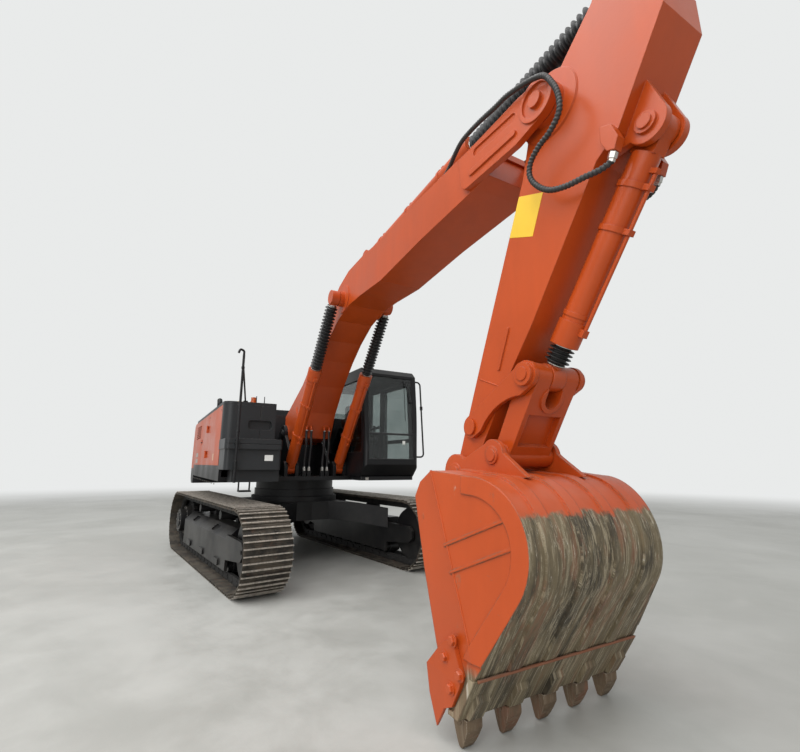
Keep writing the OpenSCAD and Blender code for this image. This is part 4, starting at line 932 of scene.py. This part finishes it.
def make_bellows_rubber():
    """Black rubber, greyish on the tips of its folds."""
    m, net, give = material("bellows_rubber")
    edge = net.use(EDGES, Radius=0.008, Breakup=30.0)
    dust = net.use(SETTLED, Amount=0.12, Low=0.0)["Mask"]
    tips = net.mix(edge["Mask"], (0.007, 0.007, 0.008, 1), (0.045, 0.043, 0.04, 1))
    give("Base Color", net.mix(dust, tips, (0.26, 0.24, 0.21, 1)))
    give("Roughness", net.range(edge["Mask"], 0.0, 1.0, 0.45, 0.65))
    give("Normal", net.bump(net.noise(net.coords(), 150.0, 2.0), 0.0006, 0.6, edge["Normal"]))
    return m


BELLOWS = make_bellows_rubber()
BOOT_END = 0.016
BOOT_LIP = 0.006
CREST_ROUND = 0.0025


def bellows(title, node, on_cylinder, barrel, rod, r_in, r_out, fold, y=0.0, short=0.0):
    """Bellows along the rod, from the barrel's head, with folds so long and two bands.

    They end short of the node's own end where the rod's eye turns between plates."""
    lo, hi = span(node, on_cylinder)
    x0, x1 = lo.x, hi.x - short
    count = round((x1 - x0 - 2 * BOOT_END) / fold)
    step = (x1 - x0 - 2 * BOOT_END) / count
    shoulder = r_out - CREST_ROUND
    profile = [(x0, r_in + BOOT_LIP), (x0 + 0.8 * BOOT_END, r_in + BOOT_LIP), (x0 + BOOT_END, r_in)]
    for i in range(count):
        start = x0 + BOOT_END + i * step
        for share, r in ((0.16, r_in), (0.43, shoulder), (0.50, r_out), (0.57, shoulder), (0.84, r_in)):
            profile.append((start + share * step, r))
    profile += [(x1 - BOOT_END, r_in), (x1 - 0.8 * BOOT_END, r_in + BOOT_LIP), (x1, r_in + BOOT_LIP)]
    boot = place(lathe(profile, 28, 50), on_cylinder @ move(0, y, 0))
    name(boot, title, BELLOWS, None)
    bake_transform(boot)
    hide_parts(node)
    for tag, x, body in (("barrel", x0, barrel), ("rod", x1 - 0.8 * BOOT_END, rod)):
        r = r_in + BOOT_LIP + 0.001
        band = lathe([(x + 0.002, r), (x + 0.004, r + 0.002), (x + 0.009, r + 0.002), (x + 0.011, r)], 28)
        fit(band, on_cylinder @ move(0, y, 0), f"{title}_band_{tag}", STEEL_FITTING, body)


for side, side_y in (("left", BOOM_CYL_Y), ("right", -BOOM_CYL_Y)):
    bellows("boom_boot_" + side, "boom_boots", ON_BOOM_CYL, "boom_barrels", "boom_rods",
            r_in=0.056, r_out=0.086, fold=0.046, y=side_y)
bellows("arm_boot_folds", "arm_boot", ON_ARM_CYL, "arm_barrel", "arm_rod",
        r_in=0.063, r_out=0.094, fold=0.050, short=0.13)
bellows("bucket_boot_folds", "bucket_boot", ON_BUCKET_CYL, "bucket_barrel", "bucket_rod",
        r_in=0.056, r_out=0.086, fold=0.028)

PIPE_R = 0.0155
PIPE_Y = 0.200
PIPE_LINE = ((1.835, 0.817), (2.344, 1.026), (2.806, 1.167), (3.152, 1.172), (3.605, 1.056), (4.045, 0.896),
             (4.553, 0.776), (4.900, 0.671), (5.040, 0.655), (5.2153, 0.598))
# Where the clamps sit: x, z and lean in degrees
CLAMP_AT = ((2.10, 0.926, 22.4), (2.98, 1.170, 0.8), (3.42, 1.103, -14.3), (3.83, 0.973, -20.0),
            (4.32, 0.829, -13.2), (4.76, 0.713, -16.8))


def hex_bolt(radius, height, washer=1.35):
    """Bolt head along X with its washer."""
    head = lathe([(0, radius), (0.75 * height, radius), (height, 0.86 * radius)], 6, 25)
    if not washer:
        return head
    return join(lathe([(-0.001, washer * radius), (0.2 * height, washer * radius)], 16), head)


def make_boom_pipes():
    for side, y in (("left", PIPE_Y), ("right", -PIPE_Y)):
        run = pipe([(x, y, z) for x, z in PIPE_LINE], PIPE_R, 0.16, 5)
        end_x, end_z = PIPE_LINE[-1]
        nut = place(lathe([(-0.050, 0.024), (-0.046, 0.027), (-0.006, 0.027), (0, 0.024)], 6, 25),
                    turned((end_x, y, end_z), radians(-16.3)))
        pipes = fit(join(nut, run), ON_BOOM, "boom_pipe_" + side, ORANGE, "boom")
        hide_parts("boom_pipes")
        clamp = slab((-0.022, -0.028, -0.018), (0.022, 0.028, 0.020), 0.005)
        seats = [turned((x, y, z), radians(a)) for x, z, a in CLAMP_AT]
        fit(copies(clamp, seats), ON_BOOM, "pipe_clamps_" + side, BLACK, "boom")
        tops = [seat @ move(0, s, 0.020) @ turn(-90, "Y") for seat in seats for s in (-0.012, 0.012)]
        fit(copies(hex_bolt(0.009, 0.009), tops), ON_BOOM, "pipe_clamp_bolts_" + side, BOLT, "boom")


make_boom_pipes()


# Bolts and weld beads of the front

BOLT_TURN = 17                   # degrees from one bolt's head to the next one's


def bolts_on(title, frame_matrix, body, spots, y, radius, height, finish, sides=(-1, 1)):
    """Bolt heads at (x, z) on the faces at y to both sides."""
    places = [move(x, s * y, z) @ facing(s) @ turn(BOLT_TURN * i, "X")
              for s in sides for i, (x, z) in enumerate(spots)]
    return fit(copies(hex_bolt(radius, height), places), frame_matrix, title, finish, body)


def ring(x, z, radius, count):
    """Points evenly round a circle."""
    angles = [2 * pi * i / count for i in range(count)]
    return [(x + radius * cos(a), z + radius * sin(a)) for a in angles]


CUTTER_BOLTS = ((0.552, -0.941), (0.469, -1.053), (0.613, -1.101), (0.525, -1.200))
bolts_on("cutter_bolts", ON_BUCKET, "bucket", CUTTER_BOLTS, BUCKET_W / 2 + 0.030, 0.026, 0.024, ORANGE_BOLT)
bolts_on("arm_tail_bolts", ON_ARM, "arm", ring(-0.800, 0.300, 0.085, 4), ARM_HALF_W + 0.010, 0.011, 0.010,
         ORANGE_BOLT)


def weld(title, frame_matrix, body, lines, radius=0.0055, finish=ORANGE):
    """Beads of weld along lines."""
    beads = [pipe(line, radius, 0.0, 2) for line in lines]
    return fit(join(*beads), frame_matrix, title, finish, body)


def arc_line(cx, y, cz, radius, start, end, count):
    """Points of an arc from start to end, in degrees, at y."""
    angles = [radians(start + (end - start) * i / count) for i in range(count + 1)]
    return [(cx + radius * cos(a), y, cz + radius * sin(a)) for a in angles]


def at_y(y, line):
    """The points (x, z) of a line, at y."""
    return [(x, y, z) for x, z in line]


def both_sides(lines):
    return [[(x, s * y, z) for x, y, z in line] for s in (-1, 1) for line in lines]


FOOT_PLATE_EDGE = ((-0.060, 0.152), (0.640, 0.252), (0.702, -0.230), (0.060, -0.167))
CHEEK_EDGE = ((5.590, 0.372), (5.900, 0.297), (6.200, 0.212))
weld("boom_welds", ON_BOOM, "boom", both_sides([
    arc_line(2.910, BOOM_HALF_W + 0.016, 0.850, 0.107, 0, 360, 28),
    arc_line(2.910, BOOM_HALF_W, 0.850, 0.192, 0, 360, 32),
    at_y(BOOM_HALF_W, FOOT_PLATE_EDGE),
    at_y(BOOM_HALF_W, CHEEK_EDGE)]))
weld("arm_welds", ON_ARM, "arm", both_sides([
    [(1.980, ARM_HALF_W, -0.067), (1.980, ARM_HALF_W, 0.202)],
    arc_line(0, ARM_HALF_W, 0, 0.247, -30, 210, 24),
    arc_line(-0.800, ARM_HALF_W, 0.300, 0.114, 0, 360, 24)]))
EAR_FOOT = ((0.230, -0.006), (0.300, -0.005), (0.460, -0.013), (0.616, -0.016), (0.760, -0.040))
weld("bucket_welds", ON_BUCKET, "bucket", both_sides([at_y(y, EAR_FOOT) for y in (0.248, 0.292)]))
weld("lip_weld", ON_BUCKET, "bucket", [[(0.719, -0.69, -1.104), (0.719, 0.69, -1.104)]], 0.009, LIP_WELD)


# Tracks: shoe bolts, link plates and pin ends round both loops

LOOP_R = TRACK_H / 2
HALF_RUN = TRACK_L / 2 - LOOP_R
SHOE_R = LOOP_R - SHOE_TOP
PITCH = (4 * HALF_RUN + 2 * pi * SHOE_R) / SHOES
PLATE_T = 0.012
RAIL_IN, RAIL_OUT = 0.075, 0.120


def on_loop(distance):
    """Frame on the track's loop: X out of the loop, Y across."""
    bend = pi * SHOE_R
    if distance < 2 * HALF_RUN:
        return turned((distance - HALF_RUN, 0, SHOE_R), pi / 2)
    if distance < 2 * HALF_RUN + bend:
        a = pi / 2 - (distance - 2 * HALF_RUN) / SHOE_R
        return turned((HALF_RUN + SHOE_R * cos(a), 0, SHOE_R * sin(a)), a)
    if distance < 4 * HALF_RUN + bend:
        return turned((3 * HALF_RUN + bend - distance, 0, -SHOE_R), -pi / 2)
    a = -pi / 2 - (distance - 4 * HALF_RUN - bend) / SHOE_R
    return turned((-HALF_RUN + SHOE_R * cos(a), 0, SHOE_R * sin(a)), a)


def make_track_details(side, y):
    on_track = ON_UNDER @ move(0, y, LOOP_R)
    middles = [on_loop((i + 0.5) * PITCH) for i in range(SHOES)]
    joints = [on_loop(i * PITCH) for i in range(SHOES)]
    spots = [(across, along) for across in (-0.0975, 0.0975) for along in (-0.040, 0.040)]
    heads = copies(hex_bolt(0.0135, 0.013, washer=0),
                   [m @ move(PLATE_T, *spot) for m in middles for spot in spots])
    fit(heads, on_track, "shoe_bolts_" + side, TRACK_STEEL, "undercarriage")
    link = slab((-0.094, -0.004, -0.092), (-0.006, 0.004, 0.092), 0.0035, 1)
    faces = [s * f for s in (-1, 1) for f in (RAIL_IN - 0.003, RAIL_OUT + 0.003)]
    plates = copies(link, [m @ move(0, f, 0) for m in middles for f in faces])
    fit(plates, on_track, "link_plates_" + side, TRACK_STEEL, "undercarriage")
    end = lathe([(-0.006, 0.025), (0.008, 0.025), (0.011, 0.021)], 12, 30)
    ends = copies(end, [m @ move(-0.050, s * (RAIL_OUT + 0.004), 0) @ facing(s)
                        for m in joints for s in (-1, 1)])
    fit(ends, on_track, "pin_ends_" + side, TRACK_STEEL, "undercarriage")
    out = 1 if y > 0 else -1
    for title, radius, count, face, size in (("drive_cover_bolts_", 0.172, 10, 0.225, 0.013),
                                             ("drive_hub_bolts_", 0.232, 16, 0.120, 0.012),
                                             ("drive_plug_", 0.080, 3, 0.240, 0.016)):
        spots = ring(-HALF_RUN, 0, radius, count)
        bolts_on(title + side, on_track, "undercarriage", spots, face, size, 0.012, BOLT, (out,))


make_track_details("left", GAUGE / 2)
make_track_details("right", -GAUGE / 2)


# Small pieces of the deck and the sides: plates, handles, clamps, caps, bolts, treads and fittings

def plate(title, lo, hi, finish, body="upper", frame_matrix=ON_MACHINE):
    return fit(slab(lo, hi, 0.0008, 1), frame_matrix, title, finish, body)


plate("front_plate", (1.6995, -0.952, 1.633), (1.7025, -0.836, 1.714), WHITE)
plate("side_spot", (0.452, -SIDE_Y - 0.002, 1.640), (0.512, -SIDE_Y + 0.001, 1.745), PALE)
plate("side_plate_high", (-2.250, -SIDE_Y - 0.002, 1.720), (-1.880, -SIDE_Y + 0.001, 1.800), GREY_PLATE)
plate("side_plate_low", (-2.250, -SIDE_Y - 0.002, 1.600), (-1.880, -SIDE_Y + 0.001, 1.680), GREY_PLATE)
plate("arm_plate", (0.600, -ARM_HALF_W - 0.002, -0.090), (0.900, -ARM_HALF_W + 0.001, 0.150), YELLOW,
      "arm", ON_ARM)


def make_door_handle(title, x, side, body):
    inner, outer = side * (SIDE_Y - 0.004), side * (SIDE_Y + 0.012)
    corners = ((-0.045, inner), (-0.045, outer), (0.045, outer), (0.045, inner))
    grip = pipe([(x + along, y, 1.990) for along, y in corners], 0.008, 0.012)
    fit(grip, ON_MACHINE, title, BLACK, body)


make_door_handle("right_door_handle", -1.345, -1, "right_door")
make_door_handle("left_door_handle", -0.575, 1, "left_door")

POST_X, POST_Y, POST_TOP = 1.800, -1.350, 3.080
hook = pipe([(POST_X, POST_Y, POST_TOP - 0.03), (POST_X, POST_Y, POST_TOP + 0.060),
             (POST_X + 0.01, POST_Y - 0.055, POST_TOP + 0.080),
             (POST_X + 0.02, POST_Y - 0.075, POST_TOP + 0.020)], 0.0155, 0.03, 4)
fit(hook, ON_MACHINE, "post_hook", BLACK, "upper")
for tag, z in (("low", 1.62), ("mid", 2.02), ("high", 2.90)):
    band = lathe([(-0.016, 0.019), (-0.014, 0.023), (0.014, 0.023), (0.016, 0.019)], 20)
    fit(band, ON_MACHINE @ upright(POST_X, POST_Y, z), "post_clamp_" + tag, BLACK, "upper")

rim = lathe([(-0.012, 0.053), (-0.010, 0.058), (0.010, 0.058), (0.012, 0.053)], 28)
fit(rim, ON_MACHINE @ upright(-1.900, -1.150, 2.700), "exhaust_clamp", STEEL_FITTING, "upper")

for tag, y in (("inner", -0.900), ("outer", -1.020)):
    rod = lathe([(0, 0.016), (0.012, 0.016), (0.014, 0.007), (0.110, 0.006), (0.116, 0.004)], 12)
    fit(rod, ON_MACHINE @ upright(1.205, y, PANEL_Z + 0.039), "cover_rod_" + tag, BLACK, "upper")

LID_Z = PANEL_Z + 0.040
cap = lathe([(0, 0.060), (0.020, 0.060), (0.024, 0.048), (0.050, 0.048), (0.056, 0.042)], 24)
fit(cap, ON_MACHINE @ upright(0.900, -1.210, LID_Z), "fuel_cap", PALE, "upper")
bolts_on("deck_edge_bolts", ON_MACHINE, "upper", [(x / 10, 1.300) for x in range(-24, 12, 3)], SIDE_Y,
         0.010, 0.009, BOLT, (-1,))
bolts_on("cover_bolts", ON_MACHINE, "upper", [(x, z) for x in (-0.330, 1.060) for z in (1.520, 2.380)],
         SIDE_Y, 0.009, 0.008, BOLT, (-1,))


def make_step_treads():
    """Raised grip strips on the low box's ledge, where the driver climbs up."""
    strip = slab((-0.050, -0.008, 0.0), (0.050, 0.008, 0.006), 0.002, 1)
    spots = [move(1.44 + 0.11 * (i % 3), -1.36 + 0.055 * (i // 3), 1.9295) for i in range(33)]
    fit(copies(strip, spots), ON_MACHINE, "ledge_treads", PLASTIC, "upper")


make_step_treads()


def make_foot_fittings():
    """Fittings at both ends of the foot hoses."""
    low = lathe([(-0.004, 0.024), (0.0, 0.027), (0.030, 0.027), (0.034, 0.022), (0.060, 0.0215),
                 (0.064, 0.0195)], 6, 25)
    high = lathe([(-0.012, 0.0195), (-0.011, 0.024), (-0.009, 0.026), (0.0, 0.026), (0.004, 0.022)], 6, 25)
    ys = [s * y for s in (-1, 1) for y in FOOT_HOSE_Y.values()]
    for tag, stamp, (x, z), body in (("low", low, FOOT_HOSE_LINE[0], "upper"),
                                     ("high", high, FOOT_HOSE_LINE[-1], "boom")):
        fittings = copies(stamp, [upright(x, y, z) for y in ys])
        fit(fittings, ON_MACHINE, "foot_fittings_" + tag, STEEL_FITTING, body)


make_foot_fittings()

nut = lathe([(0.0, 0.022), (0.004, 0.027), (0.040, 0.027), (0.044, 0.022), (0.060, 0.0215)], 6, 25)
nut_x, nut_y, nut_z = HOSE_ON_ARM[-1]
nuts = copies(nut, [move(nut_x, s * nut_y, nut_z) for s in (-1, 1)])
fit(nuts, ON_ARM, "arm_hose_nuts", STEEL_FITTING, "arm")


# Cab

GLASS_X = CAB_FRONT - 0.022
KINK_Z = CAB_Z + 0.420
LEAN = 0.0879


def glass_x(z):
    """Outer face of the windscreen at height z."""
    return GLASS_X - max(z - KINK_Z, 0.0) * LEAN


def on_glass(points, out=0.003):
    return [(glass_x(z) + out, y, z) for y, z in points]


WINDOW = ((0.592, 1.677), (0.592, KINK_Z), (0.592, 3.018), (1.413, 3.018), (1.413, KINK_Z), (1.413, 1.677),
          (0.592, 1.677))
fit(pipe(on_glass(WINDOW), 0.010, 0.03, 3), ON_MACHINE, "windscreen_seal", RUBBER, "upper")
bar = slab((-0.012, 0.592, 2.060), (0.010, 1.413, 2.092), 0.004)
fit(bar, ON_MACHINE @ move(glass_x(2.075), 0, 0), "windscreen_bar", PLASTIC, "upper")
sticker = slab((0.0, 1.200, 1.905), (0.0015, 1.252, 1.972), 0.0005, 1)
fit(sticker, ON_MACHINE @ move(glass_x(1.94), 0, 0), "windscreen_plate", WHITE, "upper")


def make_wiper():
    arm_line = ((0.020, 1.375, 2.620), (0.028, 1.340, 2.780), (0.020, 1.275, 2.930))
    arm = pipe([(glass_x(z) + out, y, z) for out, y, z in arm_line], 0.006, 0.05)
    blade = pipe(on_glass(((1.268, 2.985), (1.268, 2.300)), 0.008), 0.0045, 0.0)
    pivot = lathe([(0, 0.020), (0.022, 0.020), (0.026, 0.015)], 16)
    place(pivot, move(glass_x(2.62) + 0.001, 1.375, 2.62))
    fit(join(arm, blade, pivot), ON_MACHINE, "wiper", BLACK, "upper")


make_wiper()
plate("cab_plate", (1.6940, 0.610, 1.356), (1.6965, 0.662, 1.396), GREY_PLATE)
handle = pipe([(1.580, CAB_SIDE_Y + 0.010, 1.990), (1.580, CAB_SIDE_Y + 0.034, 1.990),
               (1.470, CAB_SIDE_Y + 0.034, 1.990), (1.470, CAB_SIDE_Y + 0.002, 1.990)], 0.009, 0.015)
fit(handle, ON_MACHINE, "cab_door_handle", BLACK, "cab_door")


# Padded seat

SEAT_Y = 1.0025
VOXEL = 0.009
MAX_SWELL = 0.012
PRESSURE = 4.0
SIM_FRAMES = 20
CHANNEL_DEPTH = 0.006
CHANNEL_WIDTH = 0.009


def inflate(o):
    """Lets the cloth swell under its own pressure, no point by more than MAX_SWELL, and smooths it."""
    modify(o, "REMESH", mode="VOXEL", voxel_size=VOXEL)
    start = [v.co.copy() for v in o.data.vertices]
    pick(o)
    cloth = o.modifiers.new("Cloth", "CLOTH")
    cloth.settings.use_pressure = True
    cloth.settings.uniform_pressure_force = PRESSURE
    cloth.settings.effector_weights.gravity = 0.0
    cloth.point_cache.frame_start, cloth.point_cache.frame_end = 1, SIM_FRAMES
    for step in range(1, SIM_FRAMES + 1):
        bpy.context.scene.frame_set(step)
    bpy.ops.object.modifier_apply(modifier="Cloth")
    bpy.context.scene.frame_set(1)
    for vertex, at in zip(o.data.vertices, start):
        moved = vertex.co - at
        if moved.length > MAX_SWELL:
            vertex.co = at + moved * (MAX_SWELL / moved.length)
    return done(o, 60)


def press_channels(o, axis, places, across, face):
    """Sewn channels: points near each place on one face sink."""
    for vertex in o.data.vertices:
        if face(vertex.co):
            near = min(abs(vertex.co[axis] - p) for p in places)
            if near < 2 * CHANNEL_WIDTH:
                vertex.co -= Vector(across) * (CHANNEL_DEPTH * exp(-(near / CHANNEL_WIDTH) ** 2))
    return o


def make_pad(title, lo, hi, lean, swept, channels, face, across):
    pad = slab(lo, hi, 0.035, 4)
    edit(pad, all_of_it=True)
    bpy.ops.mesh.subdivide(number_cuts=2)
    mode("OBJECT")
    pad = inflate(pad)
    press_channels(pad, swept, channels, across, face)
    modify(pad, "SUBSURF", levels=1, render_levels=1)
    fit(done(pad, 60), ON_MACHINE @ lean, title, CLOTH, "upper")
    return pad


def make_seat():
    cushion = make_pad("seat_cushion", (-0.235, -0.235, 0.012), (0.235, 0.235, 0.104),
                       move(0.672, SEAT_Y, 1.9603), 1, (-0.150, 0.150), lambda p: p.z > 0.085, (0, 0, 1))
    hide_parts("seat")
    lean = turn(-7.4, "Y")
    make_pad("seat_back", (-0.045, -0.225, 0.020), (0.045, 0.225, 0.600), move(0.462, SEAT_Y, 2.085) @ lean,
             2, (0.18, 0.40), lambda p: p.x > 0.030, (1, 0, 0))
    shell = slab((-0.030, -0.200, 0.0), (0.0, 0.200, 0.560), 0.014, 3)
    fit(shell, ON_MACHINE @ move(0.405, SEAT_Y, 2.085) @ lean, "seat_back_shell", PLASTIC, "upper")
    for tag, side in (("left", 1), ("right", -1)):
        rest = pipe([(0.0, 0.0, 0.0), (0.30, 0.0, 0.02), (0.34, 0.0, 0.02)], 0.024, 0.03, 4)
        fit(rest, ON_MACHINE @ move(0.44, SEAT_Y + 0.290 * side, 2.245), "arm_rest_" + tag, PLASTIC, "upper")


make_seat()


# Teeth of the bucket, worn to wedges, with their pins, and the ridge where each side plate folds

TEETH = 5
TOOTH_Y = [(i / (TEETH - 1) - 0.5) * (BUCKET_W - 0.190) for i in range(TEETH)]


def low_end(o):
    return min(v.co.z for v in o.data.vertices)


def low_end_centre(o):
    mode("OBJECT")
    low = low_end(o)
    lowest = [v.co.copy() for v in o.data.vertices if v.co.z < low + 1e-4]
    mode("EDIT")
    return sum(lowest, Vector()) / len(lowest)


def make_teeth():
    tooth = slab((0.455, -0.058, -1.415), (0.577, 0.058, -1.362), 0)
    for down, thick, wide, ahead in ((0.045, 0.75, 0.90, -0.007), (0.040, 0.67, 0.88, -0.008),
                                     (0.033, 0.45, 0.87, -0.008)):
        select_faces(tooth, lambda centre, normal: normal.z < -0.9 and centre.z < low_end(tooth) + 1e-4)
        bpy.ops.mesh.extrude_region_move(TRANSFORM_OT_translate={"value": (ahead, 0, -down)})
        middle = low_end_centre(tooth)
        bpy.ops.transform.resize(value=(thick, wide, 1), center_override=middle)
    done(tooth)
    edit(tooth, "EDGE", True)
    bpy.ops.mesh.bevel(offset=0.004, segments=2, affect="EDGES")
    done(tooth, 25)
    teeth = copies(tooth, [move(0, y, 0) for y in TOOTH_Y])
    fit(teeth, ON_BUCKET, "tooth_tips", TOOTH_STEEL, "bucket")
    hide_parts("bucket_teeth")
    head = lathe([(0, 0.013), (0.004, 0.013), (0.006, 0.010)], 12, 30)
    pins = copies(head, [move(0.515, y + 0.0575 * s, -1.388) @ facing(s) for y in TOOTH_Y for s in (-1, 1)])
    fit(pins, ON_BUCKET, "tooth_pins", TOOTH_STEEL, "bucket")


make_teeth()

FOLD = ((0.284, 0.018), (0.690, -1.013))
weld("fold_ridges", ON_BUCKET, "bucket", both_sides([at_y(BUCKET_W / 2 - 0.001, FOLD)]), 0.008)
